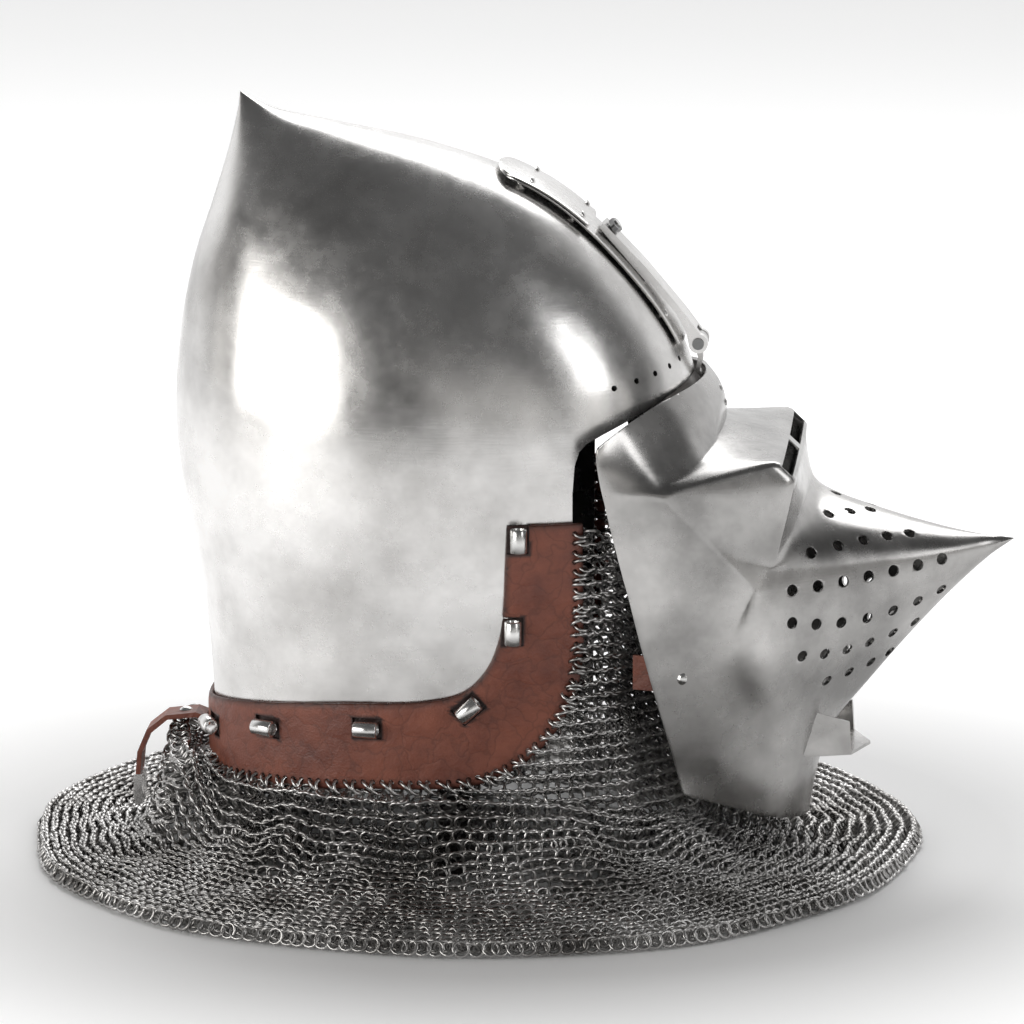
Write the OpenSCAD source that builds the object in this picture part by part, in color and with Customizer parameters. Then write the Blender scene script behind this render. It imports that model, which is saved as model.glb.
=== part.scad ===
/* [Steel plates] */
// Thickness of the skull plate
skull_t = 2; // [1.6:0.1:2.4]
// Thickness of the visor plate
visor_t = 1.6; // [1.2:0.1:2]
// Diameter of the breath holes
breath_d = 6.2; // [4:0.1:7]
// Diameter of the sewing holes over the brow
sewing_d = 3; // [2:0.1:4]
// Half of the bridge between the two sights
sight_bridge = 5; // [4:0.5:8]

/* [Hinge] */
// Width of the base plate along the ridge
base_w = 42; // [34:1:46]
// Thickness of the hinge plates
plate_t = 1.6; // [1.4:0.1:2]
// Width of the raised hinge strap
strap_w = 20; // [18:1:24]
// Thickness of the raised hinge strap
strap_t = 3; // [2.6:0.1:3.4]
// Diameter of the hinge pin
pin_d = 4; // [3:0.1:5]
// Outer diameter of the hinge knuckles
knuckle_d = 10; // [9:0.5:11]
// Width of the middle knuckle
leaf_w = 8; // [6:0.5:9]
// Radial clearance of the turning parts
run_gap = 0.06; // [0.03:0.01:0.1]

/* [Leather] */
// Thickness of the leather band
band_t = 3; // [2.5:0.1:3.5]
// Height of the lower edge of the band
band_low = 49; // [47:1:51]
// Height of the upper edge of the band at the neck
band_high = 94.5; // [90:0.5:96]
// Height of the two front ends of the band
band_end = 190; // [180:1:195]

/* [Fittings] */
// Outer diameter of the tubular staples
tube_d = 8.6; // [8:0.1:9]
// Bore of the tubular staples
tube_bore = 5.8; // [5:0.1:6.2]
// Length of the tubular staples
tube_len = 12.5; // [11:0.5:14]
// Mean diameter of the edge rings
ring_d = 8; // [7:0.1:9]
// Wire diameter of the edge rings
ring_wire = 1.4; // [1.2:0.1:1.6]
// Diameter of the rivet heads
rivet_d = 7; // [6:0.5:8]

/* [Mail and lining] */
// Radius of the spread mail
mail_r = 239; // [230:1:240]
// Thickness of the mail lying on the table
mail_t = 8; // [6:0.5:10]
// Thickness of the hanging mail
curtain_t = 6; // [5:0.5:7]
// Thickness of the padded cap
liner_t = 9; // [7:0.5:10]

/* [Hidden] */

steel = "#b9b9ba";
dark_steel = "#77787a";
leather = "#a85a44";
padding = "#1c1c1e";

// Skull rows from the apex down. Each is a tilted section that runs from a rear point
// to a front point on the middle plane: [rear x, rear z, front x, front z, half width].
skull_rows = [
    [-141, 396, -141, 396, 0], [-142.5, 386, -122, 387, 8], [-147, 367, -88, 380, 24],
    [-155, 341, -35, 368, 46], [-165, 311, 19, 346, 65], [-172, 276, 62, 307, 82],
    [-175, 236, 91, 262, 93], [-172, 196, 99, 206, 96], [-164, 155, 100, 158, 93],
    [-159, 118, 96, 118, 89], [-156.5, 84, 93, 84, 87], [-156, 60, 92, 60, 87]];
skull_cols = 32;       // columns round the skull
round_pow = 2 / 2.2;   // makes the sections a little fuller than ellipses

// Side view of the face opening, as seen along Y
brow_front = [94, 253];
face_corner = [41, 228];
face_x = 37;
face_outline = [brow_front + [106, 45.2], brow_front, [52, 234], face_corner, [38, 217],
    [face_x, 200], [face_x, 20], [200, 20]];

// Hinge axis and the slope of the strap above it
hinge_x = 96.5;
hinge_z = 269;
strap_top = [48, 331];
strap_foot = [88, 286];
strap_dir = (strap_foot - strap_top) / norm(strap_foot - strap_top);
strap_up = [-strap_dir[1], strap_dir[0]];
stud_d = 5;
stud_neck = 3;
stud_depth = 7.6;
stud_place = strap_top + 5 * strap_dir;
stud_top = 0.9;        // top of the stud above the strap's upper line
key_t = 2.4;           // thickness of the turning key

// The pointed snout is a cone with its tip here, round an axis to snout_back
snout_tip = [259, 0, 167];
snout_back = [168, 0, 137];
snout_pinch = 1.25;    // above 1 the flanks of the cone are hollow
// Foot of the cone, from the top centre round the side to the bottom centre
snout_foot = [[157, 0, 192], [153, 30, 187], [146.5, 52, 178], [138, 67, 167],
    [130, 76, 152], [128, 79, 132], [133, 73, 110], [150, 47, 91], [179, 0, 82]];
// Rows of breath holes: [count, foot place and reach at the rear, the same at the front]
breath_rows = [[3, 1.08, 0.89, 0.36, 0.72], [5, 2.7, 0.87, 1.42, 0.5], [7, 4.08, 0.87, 4.42, 0.3],
    [7, 5.08, 0.86, 7.16, 0.36], [6, 6.11, 0.86, 7.61, 0.56], [4, 7.09, 0.89, 7.76, 0.74]];
sight_half = 70;

// Chin straps and buckle
chin_strap_x = -24;
chin_strap_y = 82.6;
chin_strap_w = 16;
strap_thick = 2.4;
strap_top_z = 92;
strap_rivet_z = 83;
strap_lay = 104;       // length of the long half that lies on the table
fold_r = 9;            // its bend at the table
buckle_z = 40;
buckle_w = 24;
buckle_h = 20;
bar_d = 2.4;
eye_d = 5.2;
prong_d = 2.2;

// Visor tab
tab_rivet = [92.5, 109];

// Mail
mail_x = -20;
mail_cols = 48;
mail_gap = 5;          // from the band's face to the mail

eps = 0.01;

// ---------- curves and grids ----------

function mix(a, b, t) = a + (b - a) * t;

// Smooth curve through the points p; t counts points from the first
function spline(p, t) =
    let (i = max(min(floor(t), len(p) - 2), 0), f = t - i,
        a = p[max(i - 1, 0)], b = p[i], c = p[i + 1], d = p[min(i + 2, len(p) - 1)])
    0.5 * (2 * b + (c - a) * f + (2 * a - 5 * b + 4 * c - d) * f * f
        + (3 * b - a - 3 * c + d) * f * f * f);

function bend(a, b, c, t) = mix(mix(a, b, t), mix(b, c, t), t);

function full(v) = sign(v) * pow(abs(v), round_pow);

// Point on the skull: row place t, angle from the front, distance out from the plate
function skull_at(t, ang, out) =
    let (r = spline(skull_rows, t), h = [r[2] - r[0], r[3] - r[1]] / 2, a = max(norm(h), eps),
        k = max(a + out, eps) / a, c = full(cos(ang)))
    [(r[0] + r[2]) / 2 + h[0] * k * c, max(r[4] + out, eps) * full(sin(ang)),
        (r[1] + r[3]) / 2 + h[1] * k * c];

// Row place of a level section at height z
function neck_t(z) = z > 84 ? (z > 118 ? (z > 155 ? mix(8, 7, (z - 156.5) / 44.5)
    : mix(9, 8, (z - 118) / 38.5)) : mix(10, 9, (z - 84) / 34)) : mix(11, 10, (z - 60) / 24);

// Point of the level neck sections at height z
function neck_at(z, ang, out) =
    let (p = skull_at(neck_t(z), ang, out)) [p[0], p[1], z];

// Angle from the front at which the neck section at height z reaches x
function neck_ang(z, x) =
    let (r = spline(skull_rows, neck_t(z)), c = (2 * x - r[0] - r[2]) / (r[2] - r[0]))
    acos(sign(c) * pow(abs(c), 1 / round_pow));

// Two triangles on the four corners a, b, c, d
function quad(a, b, c, d) = [[a, b, c], [a, c, d]];

// Faces of one sheet of an m by n grid
function sheet_faces(m, n, start, flip) = [for (i = [0:m - 2], j = [0:n - 2])
    let (a = start + i * n + j, b = a + 1, c = a + n + 1, d = a + n)
    each flip ? quad(a, d, c, b) : quad(a, b, c, d)];

// Faces that join the rims of two m by n sheets
function rim_faces(m, n) =
    let (s = m * n)
    concat(
        [for (j = [0:n - 2]) each quad(j + 1, j, s + j, s + j + 1)],
        [for (j = [0:n - 2]) let (a = (m - 1) * n + j) each quad(a, a + 1, s + a + 1, s + a)],
        [for (i = [0:m - 2]) let (a = i * n) each quad(a, a + n, s + a + n, s + a)],
        [for (i = [0:m - 2]) let (a = i * n + n - 1) each quad(a + n, a, s + a, s + a + n)]);

// Closed plate between two grids of the same size
module plate(outer, inner) {
    m = len(outer);
    n = len(outer[0]);
    points = concat([for (r = outer) each r], [for (r = inner) each r]);
    polyhedron(points, concat(sheet_faces(m, n, 0, false), sheet_faces(m, n, m * n, true),
        rim_faces(m, n)), convexity = 8);
}

// Closed ring: each column of the grid is a loop round the section, the rows go round
module closed_ring(g) {
    m = len(g);
    n = len(g[0]);
    polyhedron([for (r = g) each r], [for (i = [0:m - 1], j = [0:n - 1])
        let (i2 = (i + 1) % m, j2 = (j + 1) % n)
        each quad(i * n + j, i * n + j2, i2 * n + j2, i2 * n + j)], convexity = 8);
}

function unit(v) = v / max(norm(v), eps);

// Normal of the grid g at row i and column j
function grid_normal(g, i, j) =
    let (m = len(g), n = len(g[0]),
        u = g[min(i + 1, m - 1)][j] - g[max(i - 1, 0)][j],
        v = g[i][min(j + 1, n - 1)] - g[i][max(j - 1, 0)])
    unit(cross(u, v));

function offset_grid(g, d) = [for (i = [0:len(g) - 1])
    [for (j = [0:len(g[0]) - 1]) g[i][j] + d * grid_normal(g, i, j)]];

// Turns Z to the direction v
module aim(v) {
    rotate([0, acos(v[2] / norm(v)), atan2(v[1], v[0])]) children();
}

// Solid that an outline in the middle plane makes when it is w wide along Y
module across(w) {
    rotate([90, 0, 0]) linear_extrude(w, center = true) children();
}

module mirrored_pair() {
    children();
    mirror([0, 1, 0]) children();
}

// ---------- skull ----------

// Dome between the apex and the row last, drawn in from the plate by inset
module dome(first, last, steps, inset) {
    rows = [for (i = [1:steps]) mix(first, last, i / steps)];
    tip = skull_at(first, 90, 0);
    points = concat([[tip[0], 0, tip[2]]], [for (t = rows, j = [0:skull_cols - 1])
        skull_at(t, 360 * j / skull_cols, -inset)]);
    low = skull_at(last, 90, 0);
    base = [low[0], 0, low[2]];
    n = skull_cols;
    polyhedron(concat(points, [base]), concat(
        [for (j = [0:n - 1]) [0, 1 + (j + 1) % n, 1 + j]],
        [for (i = [0:steps - 2], j = [0:n - 1])
            let (a = 1 + i * n + j, b = 1 + i * n + (j + 1) % n)
            each quad(a, b, b + n, a + n)],
        [for (j = [0:n - 1]) let (a = 1 + (steps - 1) * n)
            [1 + steps * n, a + j, a + (j + 1) % n]]), convexity = 4);
}

module face_cut(back) {
    across(300) translate([-back, back / 2]) polygon(face_outline);
}

// Places of the small sewing holes, as angles from the front
sewing_angles = [12, 20, 28, 36, 44];

module sewing_holes() {
    for (ang = sewing_angles) {
        p = skull_at(5.93 + ang / 400, ang, 0);
        translate(p) aim([p[0] + 60, p[1], 40]) cylinder(d = sewing_d, h = 12, center = true,
            $fn = 24);
    }
}

module skull_bowl() {
    color(steel) difference() {
        dome(0, 11, 22, 0);
        translate([0, 0, -eps]) dome(1.1, 11, 20, skull_t);
        face_cut(0);
        mirrored_pair() sewing_holes();
    }
}

liner_air = 1.5;       // between the bowl and the cap
liner_back = 38;       // the cap stops this far behind the face opening
rim_air = 1.4;
rim_t = 2;

module liner_pad() {
    color(padding) difference() {
        dome(1.3, 9.2, 16, skull_t + liner_air);
        translate([0, 0, -eps]) dome(2.2, 9.2, 14, skull_t + liner_air + liner_t);
        face_cut(liner_back);
    }
}

// Leather strip behind the brow edge
rim_rows = [6.05, 5.85, 5.65];

function rim_grid(out) = [for (t = rim_rows) [for (a = [-56:8:56])
    skull_at(t + abs(a) / 210, a, out)]];

module liner_rim() {
    color(leather) plate(rim_grid(-skull_t - rim_air), rim_grid(-skull_t - rim_air - rim_t));
}

// ---------- hinge ----------

base_rows = [for (i = [0:10]) mix(3.45, 5.82, i / 10)];
cover_end = 4.4;
cover_rows = [for (i = [0:6]) mix(3.4, cover_end, i / 6)];
cover_gap = 1;         // between the base plate and the cover plate

// Angle at which a row of the skull is y from the middle plane
function row_ang(t, y) =
    asin(sign(y) * pow(abs(y) / spline(skull_rows, t)[4], 1 / round_pow));

// The plates are a little straighter than the skull, so their rear end stands off it
function stand_off(t) = 0.5 + 2.5 * pow(max(5 - t, 0) / 1.5, 2);

// Point of the strip, y from the middle plane. The strip is flatter than the skull.
plate_flat = 0.5;
function ridge_point(t, y, out) =
    let (lift = out + stand_off(t), p = skull_at(t, row_ang(t, y), lift),
        q = skull_at(t, 0, lift))
    [mix(p[0], q[0], plate_flat), p[1], mix(p[2], q[2], plate_flat)];

// Strip along the ridge on the given rows, its rear end cut to a blunt point
function ridge_strip(rows, out) = [for (t = rows)
    let (w = t < rows[1] ? base_w * 0.3 : base_w / 2)
    [for (k = [-3:3]) ridge_point(t, w * k / 3, out)]];

module hinge_base_plate() {
    color(steel) difference() {
        plate(ridge_strip(base_rows, plate_t), ridge_strip(base_rows, 0));
        stud_hole(stud_d + 0.2);
    }
}

module hinge_cover_plate() {
    color(steel) plate(ridge_strip(cover_rows, 2 * plate_t + cover_gap),
        ridge_strip(cover_rows, plate_t + cover_gap));
}

module stud_hole(d) {
    translate([stud_place[0], 0, stud_place[1]]) aim([strap_up[0], 0, strap_up[1]])
        cylinder(d = d, h = 40, center = true, $fn = 32);
}

// Rivet with a domed head; its shank goes down from the origin along -Z
module rivet(head, shank, length) {
    difference() {
        scale_dome(head);
        translate([0, 0, -head]) cube(2 * head, center = true);
    }
    translate([0, 0, -length]) cylinder(d = shank, h = length + eps, $fn = 24);
}

// Cap of a ball, about a quarter as high as it is wide
module scale_dome(head) {
    translate([0, 0, -head * 0.375]) sphere(d = head * 1.25, $fn = 32);
}

module base_plate_rivets() {
    color(steel) for (t = [3.75, 4.3, 5.5], side = [-1, 1]) {
        top = t < cover_end ? 2 * plate_t + cover_gap : plate_t;
        p = ridge_point(t, side * base_w * 0.36, top);
        q = ridge_point(t, side * base_w * 0.36, top + 4);
        translate(p) aim(q - p) rivet(5, 2.4, stand_off(t) + top + 2.4);
    }
}

function strap_point(along, up) = strap_top + along * strap_dir + up * strap_up;

module strap_staple() {
    color(steel) translate([stud_place[0], 0, stud_place[1]])
        aim([strap_up[0], 0, strap_up[1]]) {
            translate([0, 0, -stud_depth]) cylinder(d = stud_d, h = stud_depth + stud_top,
                $fn = 32);
            translate([0, 0, stud_top - eps]) cylinder(d = stud_neck, h = key_t + 0.3,
                $fn = 32);
            translate([0, 0, stud_top + key_t + 0.3 - 2 * eps])
                cylinder(d = stud_d, h = 0.8, $fn = 32);
        }
}

module turn_pin() {
    color(dark_steel) translate([stud_place[0], 0, stud_place[1]])
        aim([strap_up[0], 0, strap_up[1]]) translate([0, 0, stud_top + 0.15]) difference() {
            linear_extrude(key_t) hull() {
                circle(d = 8, $fn = 32);
                translate([0, 7]) circle(d = 4, $fn = 32);
                translate([0, -7]) circle(d = 4, $fn = 32);
            }
            translate([0, 0, -1]) cylinder(d = stud_neck + 2 * run_gap, h = 6, $fn = 32);
        }
}

// Side view of the raised strap with its two steps underneath
strap_length = norm(strap_foot - strap_top);
strap_side = [strap_point(0, 0), strap_point(strap_length * 0.5, 1.2),
    strap_point(strap_length, 0.4), [hinge_x + 1, hinge_z + knuckle_d / 2],
    [hinge_x - knuckle_d / 2, hinge_z], [hinge_x - 6.4, hinge_z + 6.5],
    strap_point(strap_length - 1, -strap_t), strap_point(strap_length * 0.62, -strap_t + 0.6),
    strap_point(strap_length * 0.6, -strap_t - 0.8), strap_point(5, -strap_t - 0.4),
    strap_point(0, -strap_t)];

module hinge_strap() {
    color(steel) difference() {
        union() {
            across(strap_w) polygon(strap_side);
            translate([hinge_x, 0, hinge_z]) rotate([90, 0, 0])
                cylinder(d = knuckle_d, h = strap_w, center = true, $fn = 48);
        }
        translate([hinge_x, 0, hinge_z]) {
            rotate([90, 0, 0]) cylinder(d = pin_d, h = strap_w + 2, center = true, $fn = 32);
            translate([3, 0, -2])
                cube([knuckle_d + 8, leaf_w + 0.8, knuckle_d + 9], center = true);
        }
        stud_hole(stud_d + 0.2);
    }
}

module hinge_pin() {
    color(dark_steel) translate([hinge_x, 0, hinge_z]) rotate([90, 0, 0]) {
        cylinder(d = pin_d, h = strap_w, center = true, $fn = 32);
        for (side = [-1, 1]) translate([0, 0, side * (strap_w / 2 + 0.6)])
            cylinder(d = pin_d + 2, h = 1.2, center = true, $fn = 32);
    }
}

// Side view of the leaf, from the knuckle to behind the visor's brow
leaf_side = [[hinge_x + 4.4, hinge_z], [hinge_x + 4.8, hinge_z - 9], [99.6, 254], [104, 247],
    [107.4, 235], [105.8, 234.6], [102.6, 246], [97.6, 254], [98.6, hinge_z - 8],
    [hinge_x + 1, hinge_z - 4.8]];

module visor_leaf() {
    color(steel) difference() {
        union() {
            across(leaf_w) translate([-2.5, 0]) polygon(leaf_side);
            translate([hinge_x, 0, hinge_z]) rotate([90, 0, 0])
                cylinder(d = knuckle_d - 0.6, h = leaf_w, center = true, $fn = 48);
        }
        translate([hinge_x, 0, hinge_z]) rotate([90, 0, 0])
            cylinder(d = pin_d + 2 * run_gap, h = leaf_w + 2, center = true, $fn = 32);
    }
}

module visor_leaf_rivets() {
    color(steel) for (p = [[107.6, 244], [110, 237]])
        translate([p[0], 0, p[1]]) aim([1, 0, 0.35]) rivet(4.5, 2, 5.5);
}

// ---------- visor ----------

function snout(foot_place, reach) =
    snout_tip + reach * (snout_back - snout_tip)
        + pow(reach, snout_pinch) * (spline(snout_foot, foot_place) - snout_back);

front_cols = 8;
turn_cols = 2;
cheek_cols = 3;

// Rest of a row: from the turn to the crease and on to the rear edge
function row_side(turn, crease, rear) = concat(
    [for (i = [1:turn_cols]) mix(turn, crease, i / turn_cols)],
    [for (i = [1:cheek_cols]) mix(crease, rear, i / cheek_cols)]);

// Row across the face, level at its centre
function face_row(centre, turn, crease, rear) = concat(
    [for (i = [0:front_cols]) bend([centre[0], 0, centre[1]],
        [centre[0], turn[1] * 0.55, centre[1]], turn, i / front_cols)],
    row_side(turn, crease, rear));

// Point of the snout's net: up runs from 1 at its top foot to -1 at its bottom foot, and
// side from 0 in the middle plane to 1 at its side foot
function side_place(f) = f > 0 ? mix(4, 3, f) : mix(4, 6, -f);
function snout_net(up, side) =
    let (reach = max(abs(up), side), f = reach == 0 ? 0 : 1 / reach)
    snout(side >= abs(up) ? side_place(up * f)
        : up > 0 ? 3 * side * f : bottom - 2 * side * f, reach);

// Row over the snout, a quarter of its height per step from the tip's row
function snout_row(step, crease, rear) = concat(
    [for (i = [0:front_cols]) snout_net(step / 4, i / front_cols)],
    row_side(snout_net(step / 4, 1), crease, rear));

bottom = len(snout_foot) - 1;
visor_half = [
    face_row([100, 253], [79, 62, 247.5], [63, 83, 240], [50, 94, 231]),
    face_row([106, 246], [86, 63, 241], [67, 84.5, 233], [49.5, 95, 226]),
    face_row([109.5, 236], [92, 65, 231], [72, 87.5, 222], [50, 95.3, 220]),
    face_row([109, 226], [101, 70, 217], [83.5, 90.5, 209], [52, 95, 211]),
    face_row([141, 219], [140, 70, 219], [82.4, 92.5, 206.9], [53, 94.8, 207]),
    face_row([149, 211.5], [148.5, 70, 211], [86.2, 91.1, 202.8], [54, 94.4, 203]),
    face_row([153, 201], [144, 72, 190], [96.7, 87.4, 191.4], [56, 93.8, 193]),
    snout_row(4, [111.9, 82, 174.8], [60, 92, 176]),
    snout_row(3, [118, 79.8, 168], [61.5, 91.6, 170]),
    snout_row(2, [123.5, 77.8, 162], [63, 91.2, 164]),
    snout_row(1, [126.5, 76.7, 158.5], [64, 90.8, 160]),
    snout_row(0, [127.6, 76.3, 153], [65.5, 90.3, 155]),
    snout_row(-1, [121, 77, 140], [68.5, 89, 142]),
    snout_row(-2, [115, 77.6, 126], [72, 87, 127]),
    snout_row(-3, [112, 77, 114], [76, 84.5, 112]),
    snout_row(-4, [112, 75, 104], [79.5, 82, 98]),
    face_row([166, 70], [136, 54, 80], [113, 69, 78], [86, 76.5, 74]),
    face_row([158, 47], [137, 49, 52], [114, 63.5, 54], [90.5, 71.5, 55]),
    face_row([154, 21], [135, 46, 28], [115, 59, 37], [93, 70, 45])];

function mirror_row(r) = concat(
    [for (i = [len(r) - 1:-1:1]) [r[i][0], -r[i][1], r[i][2]]], r);

visor_outer = [for (r = visor_half) mirror_row(r)];
visor_inner = offset_grid(visor_outer, -visor_t);

module sight_cut() {
    translate([145, 0, 215]) rotate([0, -41, 0]) mirrored_pair()
        translate([-10, sight_bridge, -3.5]) cube([20, sight_half - sight_bridge, 7.4]);
}

module breath_hole(place, reach) {
    p = snout(place, reach);
    a = snout(min(place + 0.1, bottom), reach) - snout(max(place - 0.1, 0), reach);
    b = snout(place, reach + 0.02) - snout(place, reach - 0.02);
    n = cross(b, a);
    translate(p) aim([abs(n[0]), abs(n[1]), place > 4.2 ? -abs(n[2]) : abs(n[2])])
        cylinder(d = breath_d, h = 9, center = true, $fn = 24);
}

module breath_holes() {
    for (row = breath_rows, i = [0:row[0] - 1]) {
        t = i / (row[0] - 1);
        breath_hole(mix(row[1], row[3], t), mix(row[2], row[4], t));
    }
}

// Mouth slot behind the box
module mouth_cut() {
    translate([170, 0, 66]) cube([44, 40, 9], center = true);
}

module visor_plate() {
    color(steel) difference() {
        plate(visor_outer, visor_inner);
        sight_cut();
        mirrored_pair() breath_holes();
        breath_hole(0, 0.9);
        mouth_cut();
        tab_rivet_hole();
        mirror([0, 1, 0]) tab_rivet_hole();
    }
}

// Half width of the mouth box at its rear and at its mouth, and the point of its lips
mouth_back = 34;
mouth_front = 24;
mouth_point = 187;
mouth_rear_x = 148;
mouth_front_x = 178;
lip_t = 1.6;

// Side wall of the mouth box, leaning in towards the mouth
module mouth_wall() {
    wall = [[[mouth_front_x - 1, mouth_front, 73.5], [mouth_rear_x, mouth_back + 1, 84]],
        [[mouth_front_x, mouth_front, 57], [mouth_rear_x - 2, mouth_back + 1, 57]]];
    plate(wall, [for (r = wall) [for (p = r) p - [0.5, lip_t, 0]]]);
}

// Lip of the mouth box: a flat plate with a blunt point
module mouth_lip(rear_x, point_x) {
    linear_extrude(lip_t) polygon([[rear_x, -mouth_back], [mouth_front_x, -mouth_front],
        [point_x, 0], [mouth_front_x, mouth_front], [rear_x, mouth_back]]);
}

module mouth_box() {
    color(steel) {
        mirrored_pair() mouth_wall();
        translate([0, 0, 56]) mouth_lip(mouth_rear_x - 3, mouth_point);
    }
}

// ---------- visor tabs ----------

module tab_rivet_hole() {
    translate([tab_rivet[0], -80, tab_rivet[1]]) rotate([90, 0, -22])
        cylinder(d = 3, h = 20, center = true, $fn = 24);
}

module visor_tab() {
    translate([tab_rivet[0], -76.4, tab_rivet[1]]) rotate([0, 0, -16])
        translate([-26, -1, -9]) cube([30.5, 2, 18]);
}

module visor_tab_right() {
    color(leather) difference() {
        visor_tab();
        tab_rivet_hole();
    }
}

module visor_tab_left() {
    color(leather) mirror([0, 1, 0]) difference() {
        visor_tab();
        tab_rivet_hole();
    }
}

module visor_tab_rivets() {
    color(steel) mirrored_pair() translate([tab_rivet[0], -81.4, tab_rivet[1]])
        rotate([90, 0, -22]) rivet(rivet_d, 2.9, 8);
}

// ---------- leather band ----------

// Stations of the band on one side: [outer edge x, outer z, inner edge x, inner z]
band_front = [[41, band_end, 4, band_end], [41, 168, 3, 168], [41, 145, 2, 147],
    [41, 122, 0, 130], [38, 102, -6, 114], [29, 82, -17, 102], [14, 65, -34, 96.5],
    [-6, 54, -54, band_high], [-32, 50, -76, band_high - 1], [-62, band_low, -98, band_high - 3],
    [-92, band_low - 2, -118, band_high - 5.5]];
band_rear_low = 40.5;
band_rear_high = 79;
band_rear = 5;    // stations from there to the back of the neck
band_cols = 4;
band_air = 0.6;

function band_row(s, out) = [for (k = [0:band_cols])
    let (f = k / band_cols, z = mix(s[1], s[3], f)) neck_at(z, neck_ang(z, mix(s[0], s[2], f)), out)];

function rear_row(f, out) =
    let (s = band_front[len(band_front) - 1], a = neck_ang(s[1], s[0]),
        b = neck_ang(s[3], s[2]), low = mix(s[1], band_rear_low, f),
        high = mix(s[3], band_rear_high, f))
    [for (k = [0:band_cols])
        neck_at(mix(low, high, k / band_cols), mix(mix(a, b, k / band_cols), 180, f), out)];

function flip_y(r) = [for (p = r) [p[0], -p[1], p[2]]];

function band_grid(out) =
    let (half = concat([for (s = band_front) band_row(s, out)],
        [for (i = [1:band_rear]) rear_row(i / band_rear, out)]))
    concat(half, [for (i = [len(half) - 2:-1:0]) flip_y(half[i])]);

module leather_band() {
    color(leather) plate(band_grid(band_air), band_grid(band_air + band_t));
}

// ---------- tubular staples ----------

// Staples on one side: [x, z, turn of the tube from level]
staples = [[9, 183, 90], [6, 134, 90], [-16, 93, 42], [-67, 81, 0], [-119, 76, 0],
    [-150, 68, 0]];

module staple(x, z, turn) {
    ang = neck_ang(z, x);
    p = neck_at(z, ang, band_air + band_t);
    q = neck_at(z, ang + 1, band_air + band_t) - p;
    lift = tube_d / 2 + 0.2;
    translate(p) rotate([0, 0, atan2(q[1], q[0])]) translate([0, -lift, 0])
        rotate([0, -turn, 0]) {
            rotate([0, 90, 0]) difference() {
                cylinder(d = tube_d, h = tube_len, center = true, $fn = 32);
                cylinder(d = tube_bore, h = tube_len + 2, center = true, $fn = 32);
            }
            translate([0, tube_d / 2 - 0.6, 0])
                cube([tube_len * 0.6, 2, 1.6], center = true);
        }
}

module side_staples() {
    for (s = staples) staple(s[0], s[1], s[2]);
}

module band_staples_right() {
    color(steel) mirror([0, 1, 0]) side_staples();
}

module band_staples_left() {
    color(steel) side_staples();
}

// ---------- edge rings ----------

ring_hang = 2.6;     // centre of a ring outside the band's edge
ring_pitch = 11;
ring_start = 8;
side_ring_count = 20;

// Length along the band's outer edge up to station t
function edge_length(t) = t <= 0 ? 0 : let (n = ceil(t), a = spline(band_front, n - 1),
    b = spline(band_front, t)) edge_length(n - 1) + norm([b[0] - a[0], b[1] - a[1]]);

// Station at a given length along the outer edge
function edge_station(length, t = 0) = edge_length(t) >= length || t > len(band_front) - 1
    ? t : edge_station(length, t + 0.05);

// Rings along the front and lower edge of one side of the band
module side_rings() {
    for (i = [0:side_ring_count - 1]) {
        s = spline(band_front, edge_station(ring_start + ring_pitch * i));
        p = neck_at(s[1], neck_ang(s[1], s[0]), band_air + band_t + 2.8);
        d = unit([s[0] - s[2], 0, s[1] - s[3]]);
        translate(p + ring_hang * d + [0, 3.4, 0]) rotate([0, 24, 0]) edge_ring();
    }
}

module edge_ring() {
    rotate([90, 0, 0]) rotate_extrude($fn = 32) translate([ring_d / 2, 0])
        circle(d = ring_wire, $fn = 16);
}

module edge_rings_left() {
    color(dark_steel) side_rings();
}

module edge_rings_right() {
    color(dark_steel) mirror([0, 1, 0]) side_rings();
}

module edge_rings_rear() {
    a = neck_ang(band_low, -100);
    color(dark_steel) for (i = [0:15]) {
        ang = mix(a + 2, 358 - a, i / 15);
        z = mix(band_low - 2, band_rear_low, 1 - abs(2 * i / 15 - 1));
        p = neck_at(z, ang, band_air + band_t + 5.6);
        translate(p - [0, 0, ring_hang]) rotate([0, 0, atan2(p[1], p[0] + 32) + 90]) edge_ring();
    }
}

// ---------- mail ----------

// Height of the spread mail where it meets the neck, low under the chin
function neck_height(ang) = mix(17, 40, 0.5 - 0.5 * cos(min(abs(ang > 180 ? 360 - ang : ang)
    * 2, 180)));

function neck_edge(ang, z) = let (p = neck_at(60, ang, band_air + band_t + mail_gap + 4))
    [p[0], p[1], z];

function mail_rim(ang, z) = [mail_x + mail_r * cos(ang), mail_r * sin(ang), z];

function skirt_loop(ang) =
    let (h = neck_height(ang))
    [neck_edge(ang, 0), mail_rim(ang, 0), mail_rim(ang, mail_t - 1),
        mix(neck_edge(ang, mail_t + 1), mail_rim(ang, mail_t), 0.6),
        mix(neck_edge(ang, mix(mail_t, h, 0.35)), mail_rim(ang, mail_t), 0.25),
        mix(neck_edge(ang, h - 2), mail_rim(ang, mail_t), 0.08), neck_edge(ang, h)];

module mail_skirt() {
    color(dark_steel) closed_ring([for (i = [0:mail_cols - 1])
        skirt_loop(360 * i / mail_cols)]);
}

// Upper edge of the hanging mail: low across the throat and high at the band's front edge,
// then down along the band's curve
curtain_end = 55;
band_side = [[57, 100], [60, 86], [66, 60], [72, 52], [78, 46]];
function free_edge(ang) = mix(104, 182, pow(abs(ang) / curtain_end, 1.6));
function upper_edge(ang) = abs(ang) <= curtain_end ? free_edge(ang)
    : lookup(abs(ang), band_side);

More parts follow.
